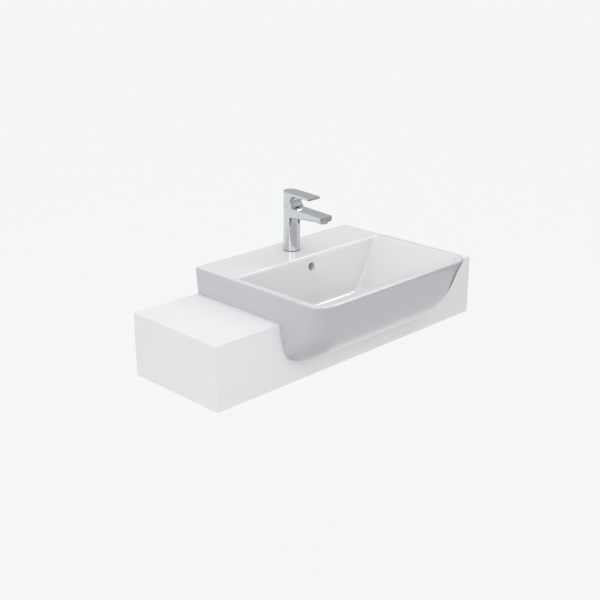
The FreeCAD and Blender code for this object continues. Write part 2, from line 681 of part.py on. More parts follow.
def basin():
    """The one-piece ceramic body, hollow under its deck and rim as it is cast."""
    ware = float(s.ware)
    big = s.basin_width * 2
    skin = outer_form("OuterForm", 0.0, 0.0)
    skin = rounded("RimEdge", skin, s.rim_round, lambda edge: edge.BoundBox.ZMin > float(rim) - 0.01)
    before = block("BeforeCounter", (-big, -big, -big), (big, flange_back, big))
    above = block("AboveCounter", (-big, -big, foot), (big, big, big))
    skin = common("Skin", skin, join("Reach", before, above))

    hollow = outer_form("InnerForm", ware, float(s.deck_ware))
    before = block("HollowFront", (-big, -big, -big), (big, flange_back - s.ware, big))
    above = block("HollowTop", (-big, flange_back - s.ware - s.free, foot), (big, big, big))
    hollow = common("Hollow", hollow, join("HollowReach", before, above))
    window = outer_form("WindowForm", float(s.flange_reach), float(s.deck_ware))
    window = common("Window", window, block("WindowReach", (-big, flange_back - s.ware * 2, -big), (big, big, big)))

    shell = bowl_form("BowlShell", float(s.bowl_ware))
    shell_drop = s.bowl_depth + s.bowl_ware
    boss = rod("WasteBoss", s.waste_boss_radius, rim - shell_drop + s.bowl_ware / 2 - boss_low, 0, waste_y, boss_low)
    duct_low = boss_low + s.duct_ware
    duct_top = rim - s.bowl_depth - s.bowl_ware
    duct_front = wall - s.deck_depth + s.bowl_ware - s.free
    duct_back = duct_front + s.duct_deep
    duct_wide = s.duct_half + s.duct_ware
    rise = block("DuctRise", (-duct_wide, duct_front - s.deck_depth / 3, boss_low),
                 (duct_wide, duct_back + s.duct_ware, rim - s.deck_ware / 2))
    run = block("DuctRun", (-duct_wide, waste_y, boss_low), (duct_wide, duct_back, duct_top + s.bowl_ware / 2))
    solids = [shell, boss, rise, run]
    for side in (-1, 1):
        solids.append(rod("ClampBoss", s.clamp_boss_radius, s.clamp_boss_drop - s.deck_ware / 2,
                          side * s.clamp_place, s.clamp_forward, rim - s.clamp_boss_drop))
    body = join("Ware", cut("Shell", skin, hollow, window), *solids)

    duct = block("DuctHollow", (-s.duct_half, duct_front, duct_low),
                 (s.duct_half, duct_back, rim - s.overflow_drop + s.overflow_radius + 2))
    pass_on = block("DuctPass", (-s.duct_half, waste_y, duct_low), (s.duct_half, duct_back, duct_top - 2))
    overflow = rod("Overflow", s.overflow_radius, s.bowl_ware * 3, 0, duct_back - s.free, rim - s.overflow_drop, (X, 90))
    dish = cone("Dish", s.waste_hole_radius, s.dish_radius, s.dish_fall + s.free, 0, waste_y, bowl_floor)
    dish_cap = s.dish_fall + s.free
    seat = rod("WasteSeat", s.waste_seat_radius, s.waste_seat_deep + dish_cap, 0, waste_y, waste_seat)
    waste_hole = rod("WasteHole", s.waste_hole_radius, s.waste_boss_height * 2, 0, waste_y,
                     boss_low - s.waste_boss_height / 2)
    tap_hole = rod("TapHole", s.tap_hole_radius, s.deck_ware * 3, 0, tap_y, deck_under - s.deck_ware)
    tools = [bowl_form("Bowl", 0.0), lip_form("Lip"), duct, pass_on, overflow, dish, seat, waste_hole, tap_hole]
    for side in (-1, 1):
        tools.append(rod("WallHole", s.wall_hole_radius, s.ware * 3, side * s.wall_hole_gap / 2, wall - s.ware * 2,
                         counter_top + s.wall_hole_rise, (X, -90)))
        tools.append(rod("ClampHole", s.clamp_hole_radius, s.clamp_hole_deep + s.free, side * s.clamp_place,
                         s.clamp_forward, rim - s.clamp_boss_drop - s.free))
    piece("basin_body", cut("BasinBody", body, *tools))


basin()


def seals():
    """Bedding between the ceramic and the counter."""
    ware = float(s.ware)
    big = s.basin_width * 2
    ring = cut("FootRing", outer_form("FootOuter", 1.0, float(s.deck_ware)),
               outer_form("FootInner", ware - 1.0, float(s.deck_ware)))
    bed = common("FootBed", ring, block("FootReach", (-big, counter_front, counter_top), (big, wall - 1, foot)))
    piece("counter_seal", bed)
    ring = cut("FaceRing", outer_form("FaceOuter", 2.0, float(s.deck_ware)),
               outer_form("FaceInner", float(s.flange_bed), float(s.deck_ware)))
    face = common("FaceBed", ring, block("FaceReach", (-big, flange_back, -big), (big, counter_front, counter_top)))
    piece("front_seal", face)


seals()


def clamps():
    """Two clips that pull the basin down on the counter."""
    plugs, studs, plates, nuts = [], [], [], []
    hole_low = rim - s.clamp_boss_drop
    plate_low = top_under - s.clamp_plate_thick
    for side in (-1, 1):
        x = side * s.clamp_place
        plug = rod("Plug", s.clamp_hole_radius, s.clamp_hole_deep, x, s.clamp_forward, hole_low)
        plugs.append(cut("Plug", plug, rod("PlugBore", s.clamp_stud_radius, s.clamp_hole_deep - 2, x,
                                           s.clamp_forward, hole_low)))
        low = top_under - s.clamp_stud_tail
        studs.append(rod("Stud", s.clamp_stud_radius, hole_low + s.clamp_hole_deep - 2 - low, x, s.clamp_forward, low))
        toe, heel = x + side * s.clamp_plate_toe, x - side * s.clamp_plate_heel
        left, right = (toe, heel) if side < 0 else (heel, toe)
        half = s.clamp_plate_width / 2
        plate = block("Plate", (left, s.clamp_forward - half, plate_low), (right, s.clamp_forward + half, top_under))
        plates.append(cut("Plate", plate, rod("PlateHole", s.clamp_stud_radius + s.fit, s.clamp_plate_thick * 3, x,
                                              s.clamp_forward, plate_low - s.clamp_plate_thick)))
        nut_low = plate_low - s.clamp_nut_height
        nut = hexagon("Nut", s.clamp_nut_flats, s.clamp_nut_height, x, s.clamp_forward, nut_low)
        nuts.append(cut("Nut", nut, rod("NutBore", s.clamp_stud_radius, s.clamp_nut_height, x, s.clamp_forward,
                                        nut_low)))
    piece("clamp_plugs", group("ClampPlugs", *plugs))
    piece("clamp_studs", group("ClampStuds", *studs))
    piece("clamp_plates", group("ClampPlates", *plates))
    piece("clamp_nuts", group("ClampNuts", *nuts))


clamps()


# ---------------------------------------------------------------- waste

def waste():
    """Push-open waste: the fixed parts, then the plug that travels."""
    seal_top = waste_seat + s.waste_seal_thick
    flange_top = seal_top + s.waste_flange_thick
    piece("waste_seal", turned("WasteSeal", [(s.waste_hole_radius, 0), (s.waste_flange_radius - 1, 0),
                                             (s.waste_flange_radius - 1, s.waste_seal_thick),
                                             (s.waste_hole_radius, s.waste_seal_thick)], 0, waste_y, waste_seat))
    down = s.waste_tube_end - seal_top
    tube = turned("WasteTube", [(s.waste_tube_bore, down), (s.waste_tube_radius, down),
                                (s.waste_tube_radius, 0), (s.waste_flange_radius, 0),
                                (s.waste_flange_radius, s.waste_flange_thick / 2),
                                (s.waste_flange_radius - 1, s.waste_flange_thick),
                                (s.waste_tube_bore + 2, s.waste_flange_thick),
                                (s.waste_tube_bore, s.waste_flange_thick - 2)], 0, waste_y, seal_top)
    duct_low = boss_low + s.duct_ware
    slots = [block("Slot", (-s.slot_half, waste_y - s.waste_tube_radius * 1.5, duct_low),
                   (s.slot_half, waste_y + s.waste_tube_radius * 1.5, duct_low + s.slot_height))]
    bridge_low = duct_low - s.bridge_height * 2
    bridge = block("Bridge", (-s.waste_tube_bore - 1, waste_y - s.bridge_half, bridge_low),
                   (s.waste_tube_bore + 1, waste_y + s.bridge_half, bridge_low + s.bridge_height))
    socket = rod("Socket", s.click_radius + 2, s.bridge_height, 0, waste_y, bridge_low)
    body = join("WasteBody", cut("SlottedTube", tube, *slots), bridge, socket)
    socket_bore = rod("SocketBore", s.click_radius, s.bridge_height, 0, waste_y, bridge_low)
    piece("waste_body", cut("WasteBody", body, socket_bore))

    gasket_low = boss_low - s.waste_gasket_height
    fit = s.waste_tube_radius + s.fit
    piece("waste_gasket", turned("WasteGasket", [(fit, 0), (s.waste_gasket_foot, 0), (s.waste_gasket_radius, 2),
                                                 (s.waste_gasket_radius - 1, s.waste_gasket_height),
                                                 (fit, s.waste_gasket_height)], 0, waste_y, gasket_low))
    washer_low = gasket_low - s.waste_washer_thick
    piece("slip_washer", turned("SlipWasher", [(fit, 0), (s.waste_nut_radius, 0),
                                               (s.waste_nut_radius, s.waste_washer_thick),
                                               (fit, s.waste_washer_thick)], 0, waste_y, washer_low))
    nut_low = washer_low - s.waste_nut_height
    nut = turned("Backnut", [(fit, 0), (s.waste_nut_radius - s.waste_lug, 0),
                             (s.waste_nut_radius - s.waste_lug, s.waste_nut_height - 3),
                             (s.waste_nut_radius, s.waste_nut_height - 3), (s.waste_nut_radius, s.waste_nut_height),
                             (fit, s.waste_nut_height)], 0, waste_y, nut_low)
    lugs = []
    for number in range(6):
        turn = number * 60
        reach = s.waste_nut_radius - s.waste_lug - 1
        lug = slab("Lug", s.waste_lug + 1, s.waste_lug, s.waste_nut_height - 2)
        lugs.append(at(lug, reach * math.cos(math.radians(turn)) + s.waste_lug / 2 * math.sin(math.radians(turn)),
                       waste_y + reach * math.sin(math.radians(turn)) - s.waste_lug / 2 * math.cos(math.radians(turn)),
                       nut_low, (Z, turn)))
    piece("backnut", join("BackNut", nut, *lugs))

    collar = s.waste_tube_end - s.tail_collar
    piece("tailpiece", turned("Tailpiece", [(s.tail_bore, 0), (s.tail_radius, 0), (s.tail_radius, collar - s.tail_end),
                                            (s.waste_tube_radius, collar - s.tail_end),
                                            (s.waste_tube_radius, s.waste_tube_end - s.tail_end),
                                            (s.tail_bore, s.waste_tube_end - s.tail_end)], 0, waste_y, s.tail_end))

    click_low = bridge_low - s.click_height / 3
    inner = s.click_radius - s.click_ware
    piece("click_housing", turned("ClickHousing", [
        (0, 0), (s.click_radius, 0), (s.click_radius, s.click_height), (s.stem_radius + s.fit, s.click_height),
        (s.stem_radius + s.fit, s.click_height - s.click_ware), (inner, s.click_height - s.click_ware),
        (inner, s.click_ware), (0, s.click_ware)], 0, waste_y, click_low))

    cap_low = flange_top + s.plug_travel + s.plug_gap
    seal_low = cap_low - s.plug_seal_height
    foot_top = click_low + s.click_height - s.click_ware - s.free
    stem_low = foot_top - s.stem_foot_thick
    piece("plug_stem", turned("PlugStem", [(0, stem_low), (s.stem_foot, stem_low), (s.stem_foot, foot_top),
                                           (s.stem_radius, foot_top), (s.stem_radius, cap_low), (0, cap_low)],
                              0, waste_y, 0))
    piece("plug_seal", turned("PlugSeal", [(s.stem_radius, 0), (s.plug_seal_radius - 2, 0), (s.plug_seal_radius, 1.5),
                                           (s.plug_seal_radius, s.plug_seal_height),
                                           (s.stem_radius, s.plug_seal_height)], 0, waste_y, seal_low))
    crown = [(s.plug_radius * across, s.plug_edge + s.plug_crown * up) for across, up in PLUG_CROWN]
    piece("plug_cap", turned("PlugCap", [(0, 0), (s.plug_radius - 1, 0), (s.plug_radius, 1),
                                         (s.plug_radius, s.plug_edge), *crown, (0, s.plug_edge + s.plug_crown)],
                              0, waste_y, cap_low))

    spring_low = click_low + s.click_ware
    spring_outer = inner - s.free
    spring_height = stem_low - spring_low
    piece("click_spring", turned("ClickSpring", [
        (spring_outer - s.spring_wire, 0), (spring_outer, 0), (spring_outer, spring_height),
        (spring_outer - s.spring_wire, spring_height)], 0, waste_y, spring_low))


waste()


# ---------------------------------------------------------------- mixer

def tilted(name, length, height, degrees, y, z, share):
    """A wide slab, tilted about X, whose end towards the wall lies at y, z at this share of its height."""
    turn = math.radians(float(degrees))
    wide = s.tap_half * 3
    return at(slab(name, wide, length, height), -(wide / 2),
              y - length * math.cos(turn) + height * (share * math.sin(turn)),
              z - length * math.sin(turn) - height * (share * math.cos(turn)), (X, degrees))


deck = rim
foot_z = deck + s.tap_gasket_thick
spout_z = deck + s.spout_under
seam = deck + s.seam_height
pivot = seam - math.sqrt(float(s.seam_radius) ** 2 - float(s.tap_half) ** 2)
inlet_y = tap_y - s.inlet_forward
outlet_y = tap_y - s.aerator_place
aerator_low = (spout_z + (s.aerator_place - s.tap_half) * math.tan(math.radians(float(s.spout_rise)))
               - s.aerator_drop)
house_z = deck + s.cartridge_floor + s.cartridge_seal_thick
house_floor = house_z + s.cartridge_ware
house_inner = s.cartridge_radius - s.cartridge_ware
gate_z = house_floor + s.gate_low
grub_z = deck + s.grub_height
lean = math.radians(float(s.spindle_lean))


def ports(name, radius, height, z):
    """The two water ways of a cartridge piece."""
    return [rod(name, radius, height, side * s.inlet_place, inlet_y, z) for side in (-1, 1)]


def round_backed(name, reach, low, high):
    """A prism as wide as the column, with a round back, that runs this far to the user."""
    half, y, z = float(s.tap_half), float(tap_y), float(low)
    front = y - float(reach)
    corners = [Vector(half, y, z), Vector(half, front, z), Vector(-half, front, z), Vector(-half, y, z)]
    edges = [Part.LineSegment(start, end).toShape() for start, end in zip(corners, corners[1:])]
    edges.append(Part.Arc(corners[3], Vector(0, y + half, z), corners[0]).toShape())
    return drawn(name, Part.Face(Part.Wire(edges)).extrude(Vector(0, 0, float(high) - z)))


def tap_body():
    """A tapered column with a flat spout of its own width, the insert with the inlets, and the ring under both."""
    column = cone("Column", s.tap_foot_radius, s.tap_neck_radius, spout_z + s.free - foot_z, 0, tap_y, foot_z)
    blank = round_backed("SpoutBlank", s.spout_reach, spout_z, seam + s.tap_half)
    root_y = tap_y - s.tap_half / 2
    ahead = block("Ahead", (-s.tap_half * 2, tap_y - s.spout_reach * 2, spout_z), (s.tap_half * 2, root_y, seam))
    behind = block("Behind", (-s.tap_half * 2, root_y, spout_z),
                   (s.tap_half * 2, tap_y + s.tap_half * 2, deck + s.lever_top))
    head = common("Head", blank, behind, ball("SeamBall", s.seam_radius, 0, tap_y, pivot))
    above = tilted("AboveSpout", s.spout_reach * 2, s.spout_reach, s.spout_fall, root_y + s.tap_half,
                   deck + s.spout_top + s.tap_half * math.tan(math.radians(float(s.spout_fall))), 0)
    below = tilted("BelowSpout", s.spout_reach * 2, s.spout_reach, -float(s.spout_rise), tap_y - s.tap_half,
                   spout_z, 1)
    spout = cut("Spout", common("SpoutAhead", blank, ahead), above, below)
    collar = rod("OutletCollar", s.aerator_radius + s.aerator_ware, s.aerator_drop, 0, outlet_y, aerator_low)
    body = join("TapBody", column, head, spout, collar)

    way_low = spout_z + s.waterway_rise
    way_top = way_low + s.waterway_height
    bore_front = tap_y - s.cartridge_radius
    tools = [
        rod("CartridgeBore", s.cartridge_radius, s.seam_height, 0, tap_y, deck + s.cartridge_floor),
        rod("Feed", s.feed_half, way_top - gate_z, 0, bore_front - s.feed_deep + s.feed_half, gate_z),
        block("Waterway", (-s.waterway_half, outlet_y, way_low), (s.waterway_half, bore_front - s.free, way_top)),
        rod("OutletDrop", s.waterway_half - s.free, way_top - aerator_low, 0, outlet_y, aerator_low),
        rod("OutletBore", s.aerator_radius, s.aerator_height, 0, outlet_y, aerator_low),
        rod("InsertBore", s.insert_radius, s.insert_height + s.tap_gasket_thick, 0, tap_y, deck),
    ]
    tools += ports("InletWay", s.inlet_way_radius, s.cartridge_floor + s.free, deck)
    hollows = join("TapHollows", *tools)
    doc.recompute()
    piece("tap_body", drawn("HollowTapBody", body.Shape.cut(hollows.Shape)))

    insert = rod("InletInsert", s.insert_radius, s.insert_height, 0, tap_y, foot_z)
    holes = ports("Inlet", s.inlet_radius, s.inlet_deep, foot_z)
    holes += ports("InsertWay", s.inlet_way_radius, s.insert_height, foot_z)
    holes.append(rod("StudHole", s.stud_radius, s.stud_deep, 0, tap_y + s.stud_place, foot_z))
    piece("inlet_insert", cut("InletInsert", insert, *holes))

    ring_radius = s.tap_foot_radius - s.free * 2
    piece("base_ring", turned("BaseRing", [(s.tap_hole_radius + s.free, 0), (ring_radius, 0),
                                           (ring_radius, s.tap_gasket_thick),
                                           (s.tap_hole_radius + s.free, s.tap_gasket_thick)], 0, tap_y, deck))


def tap_lever():
    """The lever, a blade with a round back over a neck that is hollowed towards the user, and its screw."""
    top = deck + s.lever_top
    neck_low = seam + s.seam_gap
    fall = math.radians(float(s.lever_fall))
    blade = round_backed("LeverBlade", s.lever_reach, neck_low, top)
    above = tilted("AboveLever", s.lever_reach * 4, s.lever_reach, s.lever_fall, tap_y + s.tap_half, top, 0)
    notch_y = tap_y - s.notch_place - s.notch_radius
    notch_z = top - s.lever_thick - s.notch_radius - (s.tap_half + s.notch_place) * math.tan(fall)
    notch = rod("Notch", s.notch_radius, s.tap_half * 3, -s.tap_half * 1.5, notch_y, notch_z, (Y, 90))
    under_blade = tilted("UnderBlade", s.lever_reach * 2, s.notch_radius * 2, s.lever_fall, notch_y, notch_z, 0.5)
    toe = block("Toe", (-s.tap_half * 2, tap_y - s.lever_reach * 2, neck_low - s.free),
                (s.tap_half * 2, tap_y - s.tap_half, notch_z))
    pocket_radius = s.tap_half - s.lever_ware
    pocket = rod("Pocket", pocket_radius, top - neck_low - s.lever_roof, 0, tap_y, neck_low)
    lever = cut("Blade", blade, above, notch, under_blade, toe, pocket)
    hub = rod("Hub", s.hub_radius, top - pivot - s.lever_ware, 0, tap_y, pivot, (X, s.spindle_lean))
    yoke = block("Yoke", (-s.yoke_half, tap_y, grub_z - s.hub_radius),
                 (s.yoke_half, tap_y + pocket_radius + s.fit, grub_z + s.hub_radius))
    clear_ball = ball("SeamClear", s.seam_radius + s.seam_gap, 0, tap_y, pivot)
    spindle_hole = rod("SpindleHole", s.spindle_radius, s.spindle_length, 0, tap_y, pivot, (X, s.spindle_lean))
    grub_end = tap_y - (grub_z - pivot) * math.tan(lean) + s.spindle_radius + s.free
    grub_hole = rod("GrubHole", s.grub_radius, s.tap_half * 2, 0, grub_end, grub_z, (X, -90))
    cap_y = tap_y + s.tap_half - s.cap_length
    cap_hole = rod("CapHole", s.cap_radius, s.tap_half, 0, cap_y, grub_z, (X, -90))
    piece("tap_lever", cut("TapLever", join("Lever", lever, hub, yoke), clear_ball, spindle_hole, grub_hole,
                           cap_hole))
    piece("grub_screw", rod("GrubScrew", s.grub_radius, s.grub_length, 0, grub_end, grub_z, (X, -90)))
    cap = rod("Cap", s.cap_radius, s.cap_length * 2, 0, cap_y, grub_z, (X, -90))
    trim = rod("CapTrim", s.tap_half, s.cap_radius * 4, 0, tap_y, grub_z - s.cap_radius * 2)
    piece("screw_cap", common("ScrewCap", cap, trim))


def cartridge():
    """The cartridge, from its seal up to the ring that shows under the lever."""
    radius = s.cartridge_radius - s.fit
    seal_z = deck + s.cartridge_floor
    seal = rod("CartridgeSeal", radius, s.cartridge_seal_thick, 0, tap_y, seal_z)
    piece("cartridge_seal", cut("CartridgeSeal", seal, *ports("SealPort", s.inlet_radius - 1,
                                                              s.cartridge_seal_thick, seal_z)))
    roof = s.cartridge_height - s.cartridge_ware
    house = turned("CartridgeHousing", [(0, 0), (radius, 0), (radius, s.cartridge_height),
                                        (s.mouth_radius, s.cartridge_height), (s.mouth_radius, roof),
                                        (house_inner, roof),
                                        (house_inner, s.cartridge_ware), (0, s.cartridge_ware)],
                   0, tap_y, house_z)
    gate = block("Gate", (-s.feed_half, tap_y - s.cartridge_radius, gate_z),
                 (s.feed_half, tap_y - house_inner + 1, house_floor + s.gate_high))
    piece("cartridge_housing", cut("CartridgeHousing", house, gate, *ports("HousePort", s.inlet_radius - 1.5,
                                                                           s.cartridge_ware, house_z)))
    disc = rod("FixedDisc", s.disc_radius, s.disc_thick, 0, tap_y, house_floor)
    piece("fixed_disc", cut("FixedDisc", disc, *ports("DiscPort", s.inlet_radius - 2, s.disc_thick, house_floor)))

    moving_z = house_floor + s.disc_thick + s.fit
    carrier_z = moving_z + s.disc_thick
    carrier_top = carrier_z + s.carrier_height
    finger_drop = pivot - carrier_top + (s.spindle_finger * math.cos(lean) - (pivot - carrier_top)) / 2
    core_y = tap_y + finger_drop * math.tan(lean)
    disc = rod("MovingDisc", s.moving_disc_radius, s.disc_thick, 0, core_y, moving_z)
    piece("moving_disc", cut("MovingDisc", disc, rod("MixHollow", s.moving_disc_radius / 2, s.disc_thick / 2, 0,
                                                     core_y, moving_z)))
    carrier = rod("DiscCarrier", s.carrier_radius, s.carrier_height, 0, core_y, carrier_z)
    slot = s.finger_radius + s.finger_play
    finger_slot = block("FingerSlot", (-slot, core_y - slot, carrier_z + s.carrier_floor),
                        (slot, core_y + slot, carrier_top))
    piece("disc_carrier", cut("DiscCarrier", carrier, finger_slot))

    rotor_z = carrier_top + s.free
    rotor = rod("Rotor", house_inner - s.fit, house_z + roof - s.fit - rotor_z, 0, tap_y, rotor_z)
    swing = block("Swing", (-s.spindle_ball - s.fit, tap_y - s.rotor_slot, rotor_z),
                  (s.spindle_ball + s.fit, tap_y + s.rotor_slot, house_z + s.cartridge_height))
    pin_half = house_inner - s.fit * 4 - s.free
    pin_hole = rod("PinHole", s.pin_radius, pin_half * 2, -pin_half, tap_y, pivot, (Y, 90))
    piece("cartridge_rotor", cut("CartridgeRotor", rotor, swing, pin_hole))
    piece("pivot_pin", rod("PivotPin", s.pin_radius, pin_half * 2, -pin_half, tap_y, pivot, (Y, 90)))
    finger = rod("Finger", s.finger_radius, s.spindle_finger, 0, tap_y, pivot, (X, 180 + float(s.spindle_lean)))
    stem = rod("Stem", s.spindle_radius, s.spindle_length, 0, tap_y, pivot, (X, s.spindle_lean))
    spindle = join("SpindleBlank", finger, stem, ball("SpindleBall", s.spindle_ball, 0, tap_y, pivot))
    pin_bore = rod("PinBore", s.pin_radius + s.fit, pin_half * 2, -pin_half, tap_y, pivot, (Y, 90))
    piece("spindle", cut("Spindle", spindle, pin_bore))

    nut_z = house_z + s.cartridge_height
    piece("cartridge_nut", turned("CartridgeNut", [(s.cartridge_nut_bore, 0), (radius, 0),
                                                   (radius, s.cartridge_nut_height),
                                                   (s.cartridge_nut_bore, s.cartridge_nut_height)], 0, tap_y, nut_z))
    ring_z = nut_z + s.cartridge_nut_height
    ring = rod("CoverBlank", radius, s.seam_radius, 0, tap_y, ring_z)
    ring = cut("CoverRing", ring, rod("CoverBore", s.cover_bore, s.seam_radius, 0, tap_y, ring_z))
    piece("cover_ring", common("CoverRing", ring, ball("CoverBall", s.seam_radius, 0, tap_y, pivot)))


def aerator():
    """The aerator in the spout's tip."""
    outer = s.aerator_radius - s.fit
    inner = s.aerator_radius - s.aerator_ware
    lip = inner - s.aerator_ware / 2
    piece("aerator_housing", turned("AeratorHousing", [
        (lip, 0), (outer, 0), (outer, s.aerator_height), (inner, s.aerator_height), (inner, s.aerator_ware),
        (lip, s.aerator_ware)], 0, outlet_y, aerator_low))
    insert_z = aerator_low + s.aerator_ware
    insert_height = s.aerator_height - s.aerator_ware * 2
    insert = rod("AeratorInsert", inner, insert_height, 0, outlet_y, insert_z)
    jets = []
    for number in range(6):
        angle = math.radians(60 * number)
        jets.append(rod("Jet", s.jet_radius, insert_height, s.jet_place * math.cos(angle),
                        outlet_y + s.jet_place * math.sin(angle), insert_z))
    piece("aerator_insert", cut("AeratorInsert", insert, *jets))


def tap_fixing():
    """Stud, horseshoe gasket, horseshoe plate and nut under the deck."""
    stud_y = tap_y + s.stud_place
    piece("fixing_stud", rod("FixingStud", s.stud_radius, s.stud_tail + s.stud_deep, 0, stud_y,
                             foot_z - s.stud_tail))
    level = deck_under
    for name, thick in (("horseshoe_gasket", s.shoe_gasket_thick), ("horseshoe_plate", s.shoe_plate_thick)):
        level = level - thick
        shoe = rod("Shoe", s.shoe_radius, thick, 0, tap_y, level)
        slot = block("ShoeSlot", (-s.shoe_slot, tap_y - s.shoe_radius * 2, level),
                     (s.shoe_slot, stud_y - s.stud_radius - s.shoe_web, level + thick))
        hole = rod("ShoeHole", s.stud_radius + s.fit, thick, 0, stud_y, level)
        piece(name, cut("Shoe", shoe, slot, hole))
    nut_z = level - s.stud_nut_height
    nut = hexagon("StudNut", s.stud_nut_flats, s.stud_nut_height, 0, stud_y, nut_z)
    piece("fixing_nut", cut("StudNut", nut, rod("StudNutBore", s.stud_radius, s.stud_nut_height, 0, stud_y, nut_z)))


tap_body()
tap_lever()
cartridge()
aerator()
tap_fixing()

# ---------------------------------------------------------------- check and write

doc.recompute()
faults = [item.Label for item in doc.Objects if {"Invalid", "Error"} & set(item.State)]
for name, thing in pieces:
    if thing.Shape.isNull() or not thing.Shape.isValid() or not thing.Shape.Solids:
        faults.append(name)
if faults:
    raise RuntimeError("not sound: " + ", ".join(faults))

os.makedirs("parts", exist_ok=True)
for name, thing in pieces:
    thing.Shape.exportStep(f"parts/{name}.step")
    box = thing.Shape.BoundBox
    print(f"{name:20s} {len(thing.Shape.Solids):2d} solid(s) {thing.Shape.Volume / 1000:10.1f} cm3"
          f"  x {box.XMin:7.1f} {box.XMax:7.1f}  y {box.YMin:7.1f} {box.YMax:7.1f}  z {box.ZMin:7.1f} {box.ZMax:7.1f}")
print(len(pieces), "pieces")
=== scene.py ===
"""Looks of the semi-recessed basin with its mixer, its waste and the counter section that carries it."""

from __future__ import annotations

import json
import logging
from collections.abc import Iterator, Sequence
from contextlib import contextmanager
from dataclasses import dataclass, field
from enum import Enum
from functools import reduce
from math import atan, cos, pi, radians, sin, sqrt, tan
from typing import Any

import bpy
import numpy as np
from mathutils import Matrix, Vector
from mathutils.bvhtree import BVHTree


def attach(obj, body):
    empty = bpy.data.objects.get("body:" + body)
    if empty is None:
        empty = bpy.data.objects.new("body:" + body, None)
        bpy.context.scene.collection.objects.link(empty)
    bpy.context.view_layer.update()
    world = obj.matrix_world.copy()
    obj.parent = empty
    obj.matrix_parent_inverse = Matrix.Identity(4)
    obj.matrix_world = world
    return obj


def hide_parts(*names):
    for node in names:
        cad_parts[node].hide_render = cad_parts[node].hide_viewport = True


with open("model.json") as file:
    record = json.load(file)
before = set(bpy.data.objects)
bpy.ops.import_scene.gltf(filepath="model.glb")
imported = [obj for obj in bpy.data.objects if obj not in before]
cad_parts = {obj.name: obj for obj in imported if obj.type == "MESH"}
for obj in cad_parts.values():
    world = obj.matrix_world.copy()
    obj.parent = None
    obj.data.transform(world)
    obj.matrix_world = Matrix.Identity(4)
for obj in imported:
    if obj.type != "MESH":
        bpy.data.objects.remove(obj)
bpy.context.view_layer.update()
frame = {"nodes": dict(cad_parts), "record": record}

LOG = logging.getLogger("basin")
MM = 0.001
ROOT = "basin_and_counter"
Piece = bpy.types.Object
Colour = tuple[float, float, float]
Point = tuple[float, float, float]
Profile = Sequence[tuple[float, float]]


# ---- shader graph

class Wire:
    """A shader socket that is calculated with like a number."""

    def __init__(self, graph: Graph, socket: bpy.types.NodeSocket) -> None:
        """Hold one output socket of a graph."""
        self.graph, self.socket = graph, socket

    def calculate(self, operation: str, *items: Wire | float) -> Wire:
        """Add one Math node.

        Args:
            operation: The Math node's operation.
            items: Its inputs, in order.

        Returns:
            The node's result.
        """
        return self.graph.node("Math", dict(enumerate(items)), {"operation": operation})

    def __add__(self, other: Wire | float) -> Wire:
        """Sum."""
        return self.calculate("ADD", self, other)

    def __sub__(self, other: Wire | float) -> Wire:
        """Difference."""
        return self.calculate("SUBTRACT", self, other)

    def __rsub__(self, other: Wire | float) -> Wire:
        """Difference from a number."""
        return self.calculate("SUBTRACT", other, self)

    def __mul__(self, other: Wire | float) -> Wire:
        """Product."""
        return self.calculate("MULTIPLY", self, other)

    __radd__, __rmul__ = __add__, __mul__

    def higher(self, other: Wire | float) -> Wire:
        """The higher of two values."""
        return self.calculate("MAXIMUM", self, other)

    def step(self, start: float, end: float) -> Wire:
        """A soft step from 0 at start to 1 at end."""
        return self.graph.node("MapRange", {"Value": self, "From Min": start, "From Max": end},
                               {"interpolation_type": "SMOOTHSTEP"})


class Graph:
    """The node tree of one material, world or lamp."""

    def __init__(self, tree: bpy.types.NodeTree) -> None:
        """Start from an empty tree."""
        self.tree = tree
        self.tree.nodes.clear()

    def node(self, kind: str, inputs: dict[Any, Any] | None = None, settings: dict[str, Any] | None = None,
             output: int | str = 0) -> Wire:
        """Add one node.

        Args:
            kind: The node's type, after ShaderNode.
            inputs: Values or wires by the socket's name or number.
            settings: Its settings.
            output: The socket to hand back.

        Returns:
            That output socket.
        """
        made = self.tree.nodes.new(f"ShaderNode{kind}")
        for key, value in (settings or {}).items():
            setattr(made, key, value)
        for key, value in (inputs or {}).items():
            if isinstance(value, Wire):
                self.tree.links.new(value.socket, made.inputs[key])
            else:
                made.inputs[key].default_value = value
        return Wire(self, made.outputs[output]) if len(made.outputs) else Wire(self, made.inputs[0])

    def place(self) -> Wire:
        """The point's own place on the object, in metres."""
        return self.node("TexCoord", output="Object")

    def split(self, vector: Wire) -> list[Wire]:
        """A vector's three parts."""
        return [self.node("SeparateXYZ", {"Vector": vector}, output=axis) for axis in range(3)]

    def noise(self, scale: float, detail: float = 3.0, stretch: Point = (1, 1, 1)) -> Wire:
        """Fine noise between 0 and 1, stretched along each axis."""
        place = self.node("Mapping", {"Vector": self.place(), "Scale": stretch})
        return self.node("TexNoise", {"Vector": place, "Scale": scale, "Detail": detail})

    def mix(self, share: Wire | float, first: Any, second: Any) -> Wire:
        """Blend two colours."""
        inputs = {0: share, 6: rgba(first), 7: rgba(second)}
        return self.node("Mix", inputs, {"data_type": "RGBA"}, 2)

    def any_ray(self, *kinds: str) -> Wire:
        """1 for a ray of one of these kinds, and 0 for others."""
        rays = [self.node("LightPath", output=f"Is {kind} Ray") for kind in kinds]
        return reduce(Wire.higher, rays)

    def glow(self, kind: str, colour: Any, strength: Wire | float = 1.0) -> Wire:
        """An Emission or Background shader."""
        return self.node(kind, {"Color": rgba(colour), "Strength": strength})

    def blend(self, share: Wire, first: Wire, second: Wire) -> Wire:
        """Blend two shaders."""
        return self.node("MixShader", {0: share, 1: first, 2: second})

    def show(self, shader: Wire, kind: str = "Material") -> None:
        """Make a shader the tree's result."""
        self.node(f"Output{kind}", {"Surface": shader})


